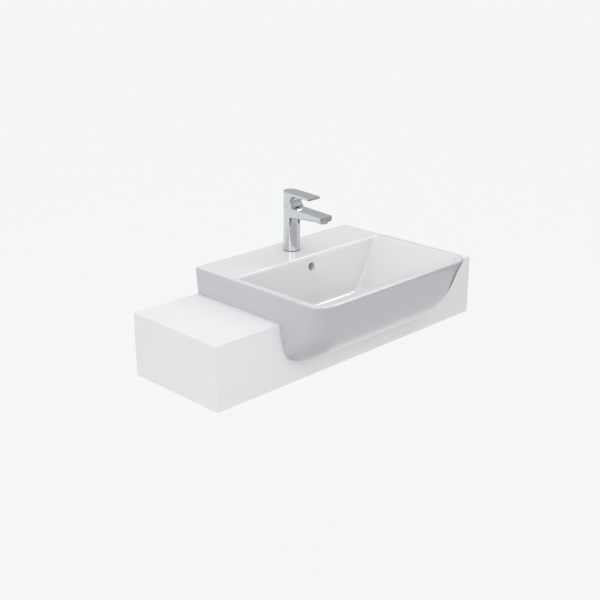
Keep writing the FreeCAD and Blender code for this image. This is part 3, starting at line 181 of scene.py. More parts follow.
def blank(name: str) -> tuple[bpy.types.Material, Graph]:
    """Start a material.

    Args:
        name: Its name.

    Returns:
        The material and its empty graph.
    """
    made = bpy.data.materials.new(name)
    made.use_nodes = True
    return made, Graph(made.node_tree)


def rgba(colour: Any) -> Any:
    """A colour with its alpha, or a wire as it is."""
    return colour if isinstance(colour, Wire) else (*colour, 1.0)


def linear(value: int) -> float:
    """One channel of a screen colour as linear light."""
    share = value / 255
    return share / 12.92 if share <= 0.04045 else ((share + 0.055) / 1.055) ** 2.4


def srgb(red: int, green: int, blue: int) -> Colour:
    """A screen colour as linear light."""
    return linear(red), linear(green), linear(blue)


# ---- finishes

class Pattern(Enum):
    """What varies over a finish."""

    SPECKLE = "speckle"
    GRAIN = "grain"
    SPANGLE = "spangle"
    BRUSHED = "brushed"
    ORANGE_PEEL = "orange peel"


@dataclass(frozen=True)
class Finish:
    """One finish of the object, as a maker would name it."""

    name: str
    colour: Colour
    second: Colour
    pattern: Pattern = Pattern.SPECKLE
    scale: float = 400.0
    roughness: float = 0.5
    spread: float = 0.08
    metallic: float = 0.0
    coat: float = 0.0
    relief: float = 0.1
    relief_depth: float = 0.0002
    subsurface: float = 0.0

    def height(self, graph: Graph) -> Wire:
        """The pattern's own height.

        Args:
            graph: The material's nodes.

        Returns:
            A value between 0 and 1.
        """
        if self.pattern is Pattern.GRAIN:
            return graph.noise(self.scale, 6.0, (0.06, 1.0, 1.0))
        if self.pattern is Pattern.BRUSHED:
            return graph.noise(self.scale, 4.0, (1.0, 1.0, 0.03))
        if self.pattern is Pattern.SPANGLE:
            return graph.node("TexVoronoi", {"Vector": graph.place(), "Scale": self.scale},
                              {"feature": "F1"}, "Distance")
        return graph.noise(self.scale, 3.0)

    def colours(self, graph: Graph, height: Wire) -> Wire:
        """The base colour over the surface."""
        wide = graph.noise(self.scale * 0.07, 2.0)
        return graph.mix((height * 0.6 + wide * 0.4).step(0.3, 0.72), self.colour, self.second)

    def gloss(self, graph: Graph, height: Wire) -> Wire:
        """The roughness over the surface."""
        wide = graph.noise(self.scale * 0.11, 2.0)
        return (height * 0.5 + wide * 0.5 - 0.5) * self.spread + self.roughness

    def material(self) -> bpy.types.Material:
        """Make the material.

        Returns:
            The material, ready for a slot.
        """
        made, graph = blank(self.name)
        height = self.height(graph)
        normal = graph.node("Bump", {"Height": height, "Strength": self.relief,
                                     "Distance": self.relief_depth})
        graph.show(graph.node("BsdfPrincipled", {
            "Base Color": self.colours(graph, height), "Roughness": self.gloss(graph, height),
            "Normal": normal, "Metallic": self.metallic, "Coat Weight": self.coat, "Coat Roughness": 0.04,
            "Subsurface Weight": self.subsurface}))
        return made


@dataclass(frozen=True)
class Glaze(Finish):
    """Sanitary glaze: glossy, with painted shade that makes it greyer on the outer walls, and missing on the
    rear face.
    """

    # Painted shade: the bowl, and the rim in front of the deck, a shade darker than the deck.
    bowl: Colour = srgb(225, 225, 226)
    # Painted shade: the outer walls greyer, greyer still where they face the front or turn under.
    outer: Colour = srgb(201, 199, 206)
    front: Colour = srgb(190, 188, 195)
    under: Colour = srgb(166, 164, 170)
    bisque: Colour = srgb(214, 208, 198)
    rim: float = 0.2335
    bowl_back: float = 0.084
    wall: float = 0.2185

    def zones(self, graph: Graph) -> tuple[Wire, ...]:
        """Where the glaze changes, and where its painted shade lies.

        Args:
            graph: The material's nodes.

        Returns:
            Masks of the painted shade on the outer walls, on their front and on their underside, of the
            painted shade on the bowl with its rim, and of the bare rear.
        """
        x, y, z = graph.split(graph.place())
        along, across, up = graph.split(graph.node("NewGeometry", output="Normal"))
        # Painted shade masks: the outer walls, the faces turned to the front, and the faces turned down.
        outer = (x * along + (y + 0.02) * across).step(0.02, 0.15)
        drop = self.rim - z
        # Painted shade mask: the bowl under the rim, and the rim in front of the deck.
        low = drop.step(0.003, 0.012).higher((self.bowl_back - y).step(0.0, 0.005))
        bare = y.step(self.wall - 0.0004, self.wall) * drop.step(0.007, 0.0085)
        return outer, (across * -1).step(0.1, 0.95), (up * -1).step(0.3, 0.95), low, bare

    def colours(self, graph: Graph, _: Wire) -> Wire:
        """White on the deck, with painted shade a little deeper in the bowl and greyer outside, bare at the
        rear.

        Args:
            graph: The material's nodes.

        Returns:
            The base colour.
        """
        outer, painted_front_shade, below, low, bare = self.zones(graph)
        deck = graph.mix(graph.noise(9.0, 2.0).step(0.3, 0.7), self.colour, self.second)
        # Painted shade in the bowl and on its rim.
        inside = graph.mix(low, deck, self.bowl)
        # Painted shade on the outer walls, deeper on their front and underside.
        skin = graph.mix(below, graph.mix(painted_front_shade, self.outer, self.front), self.under)
        return graph.mix(bare, graph.mix(outer, inside, skin), self.bisque)

    def gloss(self, graph: Graph, height: Wire) -> Wire:
        """Glossy, and dull where it is bare."""
        bare = self.zones(graph)[-1]
        return (graph.noise(30.0, 2.0) - 0.5) * self.spread + self.roughness + bare * 0.6


FINISHES = {finish.name: finish for finish in (
    Glaze("glaze", srgb(236, 236, 238), srgb(234, 234, 236), Pattern.ORANGE_PEEL, 160.0, 0.07, 0.03, coat=0.5,
          relief=0.03, relief_depth=0.0003),
    Finish("bisque", srgb(228, 227, 225), srgb(221, 220, 217), Pattern.SPECKLE, 900.0, 0.82, 0.1, relief=0.3),
    Finish("board", srgb(240, 240, 241), srgb(238, 238, 240), Pattern.ORANGE_PEEL, 700.0, 0.42, 0.08,
           relief=0.04, relief_depth=0.0001),
    Finish("carcass", srgb(205, 180, 141), srgb(182, 152, 110), Pattern.GRAIN, 120.0, 0.62, 0.12,
           relief=0.25),
    Finish("bracket_steel", srgb(176, 181, 186), srgb(150, 156, 163), Pattern.SPANGLE, 160.0, 0.42, 0.15, 0.9,
           relief=0.05),
    Finish("zinc", srgb(196, 198, 196), srgb(172, 176, 178), scale=500.0, roughness=0.36, spread=0.14,
           metallic=1.0, relief=0.08),
    Finish("steel_spring", srgb(150, 152, 156), srgb(130, 132, 138), Pattern.BRUSHED, 900.0, 0.3, 0.1, 1.0),
    Finish("silicone", srgb(226, 228, 228), srgb(218, 221, 222), Pattern.SPECKLE, 300.0, 0.45, 0.1,
           relief=0.12, subsurface=0.1),
    Finish("black_rubber", srgb(34, 34, 36), srgb(26, 26, 28), Pattern.SPECKLE, 900.0, 0.68, 0.12,
           relief=0.2),
    Finish("chrome", srgb(215, 217, 220), srgb(210, 212, 216), Pattern.ORANGE_PEEL, 90.0, 0.06, 0.03, 1.0,
           relief=0.012),
    Finish("brass", srgb(214, 176, 104), srgb(196, 156, 86), Pattern.BRUSHED, 600.0, 0.28, 0.14, 1.0,
           relief=0.06),
    Finish("nylon", srgb(226, 224, 214), srgb(216, 213, 202), Pattern.SPECKLE, 700.0, 0.5, 0.1, relief=0.1),
    Finish("disc_ceramic", srgb(238, 234, 222), srgb(230, 225, 212), Pattern.SPECKLE, 900.0, 0.22, 0.06),
    Finish("cap_plastic", srgb(150, 153, 158), srgb(142, 145, 150), Pattern.SPECKLE, 900.0, 0.4, 0.1),
)}
MATERIALS = {name: finish.material() for name, finish in FINISHES.items()}


# ---- modelling

def clear_selection() -> None:
    """Leave edit mode and select nothing."""
    if bpy.context.mode != "OBJECT":
        bpy.ops.object.mode_set(mode="OBJECT")
    bpy.ops.object.select_all(action="DESELECT")


def take(piece: Piece) -> None:
    """Select one object alone and make it active.

    Args:
        piece: The object.
    """
    clear_selection()
    piece.select_set(True)
    bpy.context.view_layer.objects.active = piece


@contextmanager
def editing(piece: Piece) -> Iterator[None]:
    """Edit mode on one object, with everything on it selected.

    Args:
        piece: The object to edit.

    Yields:
        Nothing.
    """
    take(piece)
    bpy.ops.object.mode_set(mode="EDIT")
    bpy.ops.mesh.select_mode(type="VERT")
    bpy.ops.mesh.select_all(action="SELECT")
    yield
    bpy.ops.object.mode_set(mode="OBJECT")


def primitive(kind: str, name: str, **settings: Any) -> Piece:
    """Add a primitive, name it, and bake its place into its mesh.

    Args:
        kind: Its kind, as in the operator's name.
        name: Its name.
        settings: The operator's settings.

    Returns:
        The primitive.
    """
    clear_selection()
    getattr(bpy.ops.mesh, f"primitive_{kind}_add")(**settings)
    piece = bpy.context.active_object
    piece.name = piece.data.name = name
    bpy.ops.object.transform_apply(location=True, rotation=True, scale=True)
    return piece


def place_points(piece: Piece, points: Sequence[Vector]) -> None:
    """Put every vertex at its own place.

    Args:
        piece: The object.
        points: One place for each vertex, in millimetres.
    """
    flat = np.array([tuple(point) for point in points], dtype=np.float64) * MM
    if len(flat) != len(piece.data.vertices):
        raise ValueError(f"{piece.name}: {len(flat)} points for {len(piece.data.vertices)} vertices")
    piece.data.vertices.foreach_set("co", flat.ravel())
    piece.data.update()


def modify(piece: Piece, kind: str, **settings: Any) -> Piece:
    """Add one modifier and apply it.

    Args:
        piece: The object.
        kind: The modifier's type.
        settings: The modifier's settings.

    Returns:
        The same object.
    """
    take(piece)
    modifier = piece.modifiers.new(kind, kind)
    for key, value in settings.items():
        setattr(modifier, key, value)
    bpy.ops.object.modifier_apply(modifier=modifier.name)
    return piece


def combine(piece: Piece, tool: Piece, operation: str) -> Piece:
    """Join, cut or share two solids, and drop the second.

    Args:
        piece: The solid that stays.
        tool: The solid that shapes it.
        operation: UNION, DIFFERENCE or INTERSECT.

    Returns:
        The first object.
    """
    modify(piece, "BOOLEAN", operation=operation, solver="EXACT", object=tool)
    bpy.data.objects.remove(tool, do_unlink=True)
    return piece


def lofted(name: str, rings: Sequence[Sequence[Vector]]) -> Piece:
    """A grid that is rolled into a tube of rings; a ring of one repeated point closes an end.

    Args:
        name: The object's name.
        rings: Rings of equally many points, in millimetres.

    Returns:
        The tube, with its seam merged.
    """
    around = len(rings[0])
    piece = primitive("grid", name, x_subdivisions=around, y_subdivisions=len(rings) - 1, size=1.0)
    place_points(piece, [ring[number % around] for ring in rings for number in range(around + 1)])
    with editing(piece):
        bpy.ops.mesh.remove_doubles(threshold=1e-7)
    return piece


def closed(piece: Piece) -> Piece:
    """Turn a closed mesh's faces outwards.

    Args:
        piece: The object.

    Returns:
        The same object.
    """
    with editing(piece):
        bpy.ops.mesh.normals_make_consistent(inside=False)
    return piece


def turned(name: str, profile: Profile, y: float, z: float, around: int = 96) -> Piece:
    """A solid of revolution about a vertical axis in the middle plane.

    Args:
        name: The object's name.
        profile: Radius and height of each corner, in millimetres, from one pole to the other.
        y: The axis' place.
        z: The height that the profile starts from.
        around: Faces round the axis.

    Returns:
        The closed solid.
    """
    turns = [2 * pi * number / around for number in range(around)]
    return closed(lofted(name, [[Vector((radius * cos(turn), y + radius * sin(turn), z + height))
                                 for turn in turns] for radius, height in profile]))


def extruded(name: str, outline: Sequence[Vector], travel: Vector) -> Piece:
    """A flat outline, drawn out into a prism.

    Args:
        name: The object's name.
        outline: The outline's corners, in millimetres.
        travel: How far and where to the outline is drawn, in millimetres.

    Returns:
        The closed prism.
    """
    piece = primitive("circle", name, vertices=len(outline), fill_type="NGON")
    place_points(piece, outline)
    with editing(piece):
        bpy.ops.mesh.extrude_region_move(TRANSFORM_OT_translate={"value": travel * MM})
    return closed(piece)


def drill(piece: Piece, radius: float, start: Point, end: Point, around: int = 64) -> Piece:
    """Cut a round hole.

    Args:
        piece: The solid.
        radius: The hole's radius, in millimetres.
        start: One end of its axis, in millimetres.
        end: The other end.
        around: Faces round the axis.

    Returns:
        The same solid.
    """
    first, last = Vector(start), Vector(end)
    along = last - first
    tool = primitive("cylinder", "Drill", vertices=around, radius=radius * MM, depth=along.length * MM,
                     location=(first + last) / 2 * MM, rotation=along.to_track_quat("Z", "Y").to_euler())
    return combine(piece, tool, "DIFFERENCE")


def ball(name: str, radius: float, centre: Vector) -> Piece:
    """A sphere, in millimetres."""
    return primitive("uv_sphere", name, segments=96, ring_count=64, radius=radius * MM,
                     location=centre * MM)


def soften(piece: Piece, width: float) -> None:
    """Round off every sharp edge."""
    modify(piece, "BEVEL", width=width * MM, segments=3, limit_method="ANGLE", angle_limit=radians(30.0),
           use_clamp_overlap=True)


def smooth(piece: Piece, degrees: float = 30.0) -> Piece:
    """Shade a piece smooth, apart from its sharp edges.

    Args:
        piece: The object.
        degrees: The angle that counts as sharp.

    Returns:
        The same object.
    """
    take(piece)
    bpy.ops.object.shade_smooth_by_angle(angle=radians(degrees))
    return modify(piece, "WEIGHTED_NORMAL", keep_sharp=True, weight=60)


def finished(piece: Piece, name: str, degrees: float) -> Piece:
    """Name a piece, merge what booleans left apart, close the slits between, and shade it.

    Args:
        piece: The object.
        name: Its name.
        degrees: The angle that counts as sharp.

    Returns:
        The same object.
    """
    piece.name = piece.data.name = name
    with editing(piece):
        bpy.ops.mesh.remove_doubles(threshold=3e-6)
        bpy.ops.mesh.dissolve_degenerate(threshold=1e-6)
        bpy.ops.mesh.select_all(action="DESELECT")
        bpy.ops.mesh.select_non_manifold(extend=False)
        bpy.ops.mesh.fill_holes(sides=0)
    return smooth(piece, degrees)


def copied(name: str, node: str) -> Piece:
    """A merged copy of a CAD node's mesh, as an object of its own.

    Args:
        name: The copy's name.
        node: The node.

    Returns:
        The copy.
    """
    clear_selection()
    piece = bpy.data.objects.new(name, frame["nodes"][node].data.copy())
    bpy.context.scene.collection.objects.link(piece)
    with editing(piece):
        bpy.ops.mesh.remove_doubles(threshold=2e-6)
        bpy.ops.mesh.customdata_custom_splitnormals_clear()
    return piece


def paint(piece: Piece, material: bpy.types.Material) -> None:
    """Give a piece one material all over."""
    piece.data.materials.clear()
    piece.data.materials.append(material)


def dress(piece: Piece, finish: str, body: str, *nodes: str, slot: str = "") -> None:
    """Give a piece its finish, its body and the nodes that it stands for.

    Args:
        piece: The object.
        finish: The finish's name.
        body: The body that it rides on.
        nodes: The nodes that it replaces.
        slot: The record's slot, where it has another name than the finish; not used.
    """
    paint(piece, MATERIALS[finish])
    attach(piece, body)
    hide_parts(*nodes)
    LOG.info("%s: %d faces, %s", piece.name, len(piece.data.polygons), finish)


# ---- basin

def quarter(part: float, reach: float) -> float:
    """How far a quarter ellipse has come in at this part of its height."""
    part = min(max(part, 0.0), 1.0)
    return reach * (1 - sqrt(1 - part * part))


def levels(depth: float, count: int, crowd: float) -> list[float]:
    """Depths from 0 to depth that crowd together near the bottom."""
    return [depth * (1 - (1 - step / count) ** crowd) for step in range(count + 1)]


@dataclass
class Slope:
    """One wall of the bowl: its lean, and the fillet at its foot."""

    lean: float
    fillet: float
    depth: float

    def come_in(self, down: float) -> float:
        """How far the wall has come in, this far below the rim.

        Args:
            down: The depth under the rim.

        Returns:
            The distance, in millimetres.
        """
        angle = atan(self.lean)
        start = self.depth - self.fillet * (1 - sin(angle))
        if down <= start:
            return self.lean * down
        height = self.fillet - (self.depth - down)
        return (self.lean * start + self.fillet * cos(angle)
                - sqrt(max(self.fillet ** 2 - height ** 2, 0.0)))

    def flare(self, radius: float, down: float) -> float:
        """How far the wall's rounded upper edge stands back from it.

        Args:
            radius: The edge's rounding.
            down: The depth under the rim.

        Returns:
            The distance, in millimetres.
        """
        angle = atan(self.lean)
        if down >= radius * (1 - sin(angle)):
            return 0.0
        centre = radius * (cos(angle) - tan(angle) * (1 - sin(angle)))
        return centre - sqrt(radius ** 2 - (radius - down) ** 2) + self.lean * down


@dataclass
class Basin:
    """The one-piece ceramic body: a sheet of glaze over the ware."""

    width: float = 550
    depth: float = 440
    height: float = 196
    rim: float = 233.5
    foot: float = 163.5
    flange: float = -81.5
    wall: float = 220
    front_corner: float = 46
    corner_growth: float = 32
    back_corner: float = 9
    side_draft: float = 0.077
    side_belly: float = 39
    side_rise: float = 144
    front_draft: float = 0.285
    front_belly: float = 125
    front_rise: float = 126
    rim_round: float = 5
    bowl_depth: float = 133
    deck_depth: float = 136
    side_rim: float = 19
    front_rim: float = 16
    lip_round: float = 5
    bend: float = 100
    waste_y: float = -24
    dish_radius: float = 74
    dish_drop: float = 0.75
    seat: Profile = ((60, -1.65), (47, -2.45), (38, -3.04), (34.6, -3.3), (33.8, -3.6), (33.5, -4.2),
                     (33.5, -6.5), (23, -6.5), (23, -34.5))
    overflow_drop: float = 31
    overflow: Profile = ((0, -14), (11, -14), (11, -1.6), (11.35, -0.75), (12.1, 0.0), (13.2, 0.45),
                         (14.5, 0.6), (14.5, 9), (0, 9))
    tap_y: float = 154
    tap_hole: float = 17.5
    wall_hole: float = 7
    wall_hole_x: float = 140
    wall_hole_z: float = 198
    sheet_depth: float = 192
    skin: float = 1.0
    ware_near: float = 1.3
    ware_back: float = 1.15
    sheet: BVHTree | None = field(default=None, init=False)

    def slopes(self) -> dict[str, Slope]:
        """The three kinds of bowl wall."""
        return {"side": Slope(0.726, 42, self.bowl_depth), "rear": Slope(0.14, 14, self.bowl_depth),
                "front": Slope(0.36, 48, self.bowl_depth)}

    def ring(self, half: float, back: float, front: float, back_radius: float, front_radius: float,
             z: float) -> list[Vector]:
        """One level outline with rounded corners.

        Args:
            half: Half its width.
            back: Its rear edge.
            front: Its front edge.
            back_radius: Its rear corners.
            front_radius: Its front corners.
            z: Its height.

        Returns:
            The outline's points, anticlockwise from above.
        """
        corners = [(half, front, front_radius, 1, -1, -90), (half, back, back_radius, 1, 1, 0),
                   (-half, back, back_radius, -1, 1, 90), (-half, front, front_radius, -1, -1, 180)]
        arcs = []
        for x, y, radius, along, across, start in corners:
            centre = Vector((x - along * radius, y - across * radius, z))
            steps = [radians(start + 90 * number / 12) for number in range(13)]
            arcs.append([centre + Vector((cos(turn), sin(turn), 0)) * radius for turn in steps])
        points: list[Vector] = []
        for arc, following, count in zip(arcs, arcs[1:] + arcs[:1], (18, 30, 18, 30)):
            points += arc + [arc[-1].lerp(following[0], step / count) for step in range(1, count)]
        return points

    def corner_radius(self, down: float) -> float:
        """The front corners' radius, through the same levels as the solid.

        Args:
            down: The depth under the rim.

        Returns:
            The radius, on a natural cubic spline through the levels.
        """
        knots = np.array(levels(self.height, 11, 1.7))
        known = self.front_corner + self.corner_growth * np.sqrt(knots / self.height)
        step = np.diff(knots)
        system = np.diag(np.r_[1, 2 * (step[:-1] + step[1:]), 1])
        system += np.diag(np.r_[step[:-1], 0], -1) + np.diag(np.r_[0, step[1:]], 1)
        bend = np.linalg.solve(system, np.r_[0, 6 * np.diff(np.diff(known) / step), 0])
        place = min(max(int(np.searchsorted(knots, down)) - 1, 0), len(step) - 1)
        a, b, width = knots[place + 1] - down, down - knots[place], step[place]
        return float((bend[place] * a ** 3 + bend[place + 1] * b ** 3) / (6 * width)
                     + (known[place] / width - bend[place] * width / 6) * a
                     + (known[place + 1] / width - bend[place + 1] * width / 6) * b)

    def outer_ring(self, down: float) -> list[Vector]:
        """The outer skin this far below the rim, with the rim's rounding.

        Args:
            down: The depth under the rim.

        Returns:
            The outline's points.
        """
        radius = self.rim_round

        def rounding(reach: float) -> float:
            """The rim's rounding at this depth."""
            return radius - sqrt(max(radius ** 2 - (radius - reach) ** 2, 0.0))

        def come_in(lean: float, belly: float, rise: float) -> float:
            """How far a wall that leans and ends in a belly has come in.

            Args:
                lean: The wall's lean.
                belly: How far its belly comes in.
                rise: The belly's height.

            Returns:
                The distance, in millimetres.
            """
            root = sqrt(1 + lean ** 2)
            if down <= radius * (1 + lean / root):
                return rounding(down)
            part = (down - self.height + rise) / rise
            return lean * down - radius * (lean + root - 1) + quarter(part, belly)

        side = come_in(self.side_draft, self.side_belly, self.side_rise)
        front = come_in(self.front_draft, self.front_belly, self.front_rise)
        rear = rounding(min(down, radius))
        corner = self.corner_radius(down) - (side if down < radius else 0.0)
        return self.ring(self.width / 2 - side, self.wall - rear, -self.depth / 2 + front,
                         max(self.back_corner - rear, 1.0), corner, self.rim - down)

    def bowl_ring(self, down: float) -> list[Vector]:
        """The bowl's wall this far below the rim, with the lip's rounding.

        Args:
            down: The depth under the rim.

        Returns:
            The outline's points.
        """
        share = down / self.bowl_depth
        flares = {key: slope.flare(self.lip_round, down) for key, slope in self.slopes().items()}
        side, rear, front = (slope.come_in(down) - flares[key] for key, slope in self.slopes().items())
        return self.ring(self.width / 2 - self.side_rim - side, self.wall - self.deck_depth - rear,
                         -self.depth / 2 + self.front_rim + front, 6 + 12 * share ** 2 + flares["rear"],
                         30 + 40 * share + flares["front"], self.rim - down)

    def floor_ring(self, radius: float, z: float) -> list[Vector]:
        """A circle round the waste whose points lie in line with the bowl's.

        Args:
            radius: Its radius.
            z: Its height.

        Returns:
            Its points.
        """
        centre = Vector((0, self.waste_y, z))
        return [centre + Vector((point.x, point.y - self.waste_y, 0)).normalized() * radius
                for point in self.bowl_ring(self.bowl_depth)]

    def outer_sheet(self) -> Piece:
        """The outer skin from its foot up to the rim's flat, trimmed where the counter is.

        Returns:
            The open sheet.
        """
        radius, reach = self.rim_round, self.sheet_depth
        low = [radius + (reach - radius) * level / reach for level in levels(reach, 44, 1.5)][1:]
        top = [radius * (1 - cos(radians(90 * number / 8))) for number in range(9)]
        sheet = lofted("OuterSheet", [self.outer_ring(down) for down in reversed(top + low)])
        with editing(sheet):
            for point, normal in (((0, 0, self.foot * MM), (0, 0, 1)), ((0, self.flange * MM, 0), (0, 1, 0))):
                bpy.ops.mesh.select_all(action="SELECT")
                bpy.ops.mesh.bisect(plane_co=point, plane_no=normal)
            bpy.ops.mesh.select_mode(type="FACE")
            bpy.ops.mesh.select_all(action="DESELECT")
        for face in sheet.data.polygons:
            face.select = face.center.z < self.foot * MM - 1e-6 and face.center.y > self.flange * MM + 1e-6
        bpy.ops.object.mode_set(mode="EDIT")
        bpy.ops.mesh.delete(type="FACE")
        bpy.ops.object.mode_set(mode="OBJECT")
        return sheet

    def inner_sheet(self) -> Piece:
        """Rim flat, lip, bowl walls, floor, dish, seat and waste hole.

        Returns:
            The open sheet.
        """
        lip = self.lip_round * (1 - sin(atan(self.slopes()["rear"].lean)))
        downs = [lip * (1 - cos(radians(90 * step / 7))) for step in range(8)]
        downs += [lip + (self.bend - lip) * step / 10 for step in range(1, 11)]
        downs += [self.bend + down for down in levels(self.bowl_depth - self.bend, 20, 1.9)[1:]]
        rings = [self.outer_ring(0.0), *(self.bowl_ring(down) for down in downs)]
        floor = self.rim - self.bowl_depth
        dish = self.floor_ring(self.dish_radius, floor - self.dish_drop)
        wide = self.bowl_ring(self.bowl_depth)
        rings += [[a.lerp(b, step / 5) for a, b in zip(wide, dish)] for step in range(1, 6)]
        rings += [self.floor_ring(radius, floor + z) for radius, z in self.seat]
        return lofted("InnerSheet", rings)

    def overflow_tool(self) -> Piece:
        """The overflow's bore, flared where it meets the glaze.

        Returns:
            The cutting solid.
        """
        drop, lean = self.overflow_drop, self.slopes()["rear"].lean
        centre = Vector((0, self.wall - self.deck_depth - lean * drop, self.rim - drop))
        tool = turned("OverflowTool", self.overflow, 0, 0, 48)
        turn = Vector((0, -1, lean)).normalized().to_track_quat("Z", "Y").to_matrix().to_4x4()
        tool.data.transform(Matrix.Translation(centre * MM) @ turn)
        return tool

    def glaze(self) -> Piece:
        """The whole glazed sheet, 1 mm thick, with its holes.

        Returns:
            The sheet.
        """
        outer, inner = self.outer_sheet(), self.inner_sheet()
        take(outer)
        inner.select_set(True)
        bpy.ops.object.join()
        with editing(outer):
            bpy.ops.mesh.remove_doubles(threshold=2e-6)
            bpy.ops.mesh.normals_make_consistent(inside=False)
        if self.faces_down(outer):
            with editing(outer):
                bpy.ops.mesh.flip_normals()
        self.sheet = BVHTree.FromPolygons([vertex.co.copy() for vertex in outer.data.vertices],
                                          [tuple(face.vertices) for face in outer.data.polygons])
        modify(outer, "SOLIDIFY", thickness=self.skin * MM, offset=-1.0, use_even_offset=True)
        drill(outer, self.tap_hole, (0, self.tap_y, self.rim - 20), (0, self.tap_y, self.rim + 9))
        combine(outer, self.overflow_tool(), "DIFFERENCE")
        for x in (-self.wall_hole_x, self.wall_hole_x):
            drill(outer, self.wall_hole, (x, self.wall - 9, self.wall_hole_z),
                  (x, self.wall + 9, self.wall_hole_z), 32)
        return finished(outer, "basin_glaze", 30.0)

    def faces_down(self, sheet: Piece) -> bool:
        """Whether the deck's faces look down."""
        deck = [face for face in sheet.data.polygons if face.center.z > self.rim * MM - 1e-5]
        return sum(face.normal.z * face.area for face in deck) < 0

    def ware(self) -> Piece:
        """The ware under the glaze, from the solid, drawn back where the glaze covers it.

        Returns:
            The ware.
        """
        piece = copied("basin_ware", "basin_body")
        for vertex in piece.data.vertices:
            _, normal, _, _ = self.sheet.find_nearest(vertex.co, self.ware_near * MM)
            if normal is not None:
                vertex.co = vertex.co - normal * (self.ware_back * MM)
        piece.data.update()
        return smooth(piece)

    def build(self) -> None:
        """Make and dress the basin."""
        dress(self.glaze(), "glaze", ROOT, "basin_body")
        dress(self.ware(), "bisque", ROOT, "basin_body", slot="glaze")


# ---- counter

@dataclass
class Counter:
    """The counter section's lacquered boards."""

    length: float = 930
    top: float = 162
    front: float = -80
    round_off: float = 0.7

    def board(self, node: str) -> None:
        """Make and dress a lacquered board whose outer edges are eased.

        Args:
            node: The node that it stands for.
        """
        piece = copied(f"lacquered_{node}", node)
        with editing(piece):
            bpy.ops.mesh.dissolve_limited(angle_limit=radians(1.0))
            bpy.ops.mesh.select_mode(type="EDGE")
            bpy.ops.mesh.select_all(action="DESELECT")
        half, top, front = self.length / 2 * MM, self.top * MM, self.front * MM
        mesh = piece.data
        for edge in mesh.edges:
            ends = [mesh.vertices[number].co for number in edge.vertices]
            gaps = zip(*((end.z - top, end.z, end.y - front, abs(end.x) - half) for end in ends))
            edge.select = sum(max(map(abs, pair)) < 1e-5 for pair in gaps) >= 2
        bpy.ops.object.mode_set(mode="EDIT")
        bpy.ops.mesh.bevel(offset=self.round_off * MM, segments=3, affect="EDGES")
        bpy.ops.object.mode_set(mode="OBJECT")
        dress(smooth(piece, 40.0), "board", ROOT, node)

    def build(self) -> None:
        """Make and dress the boards."""
        for node in ("counter_top", "front_apron", "end_panel_left", "end_panel_right"):
            self.board(node)


# ---- mixer

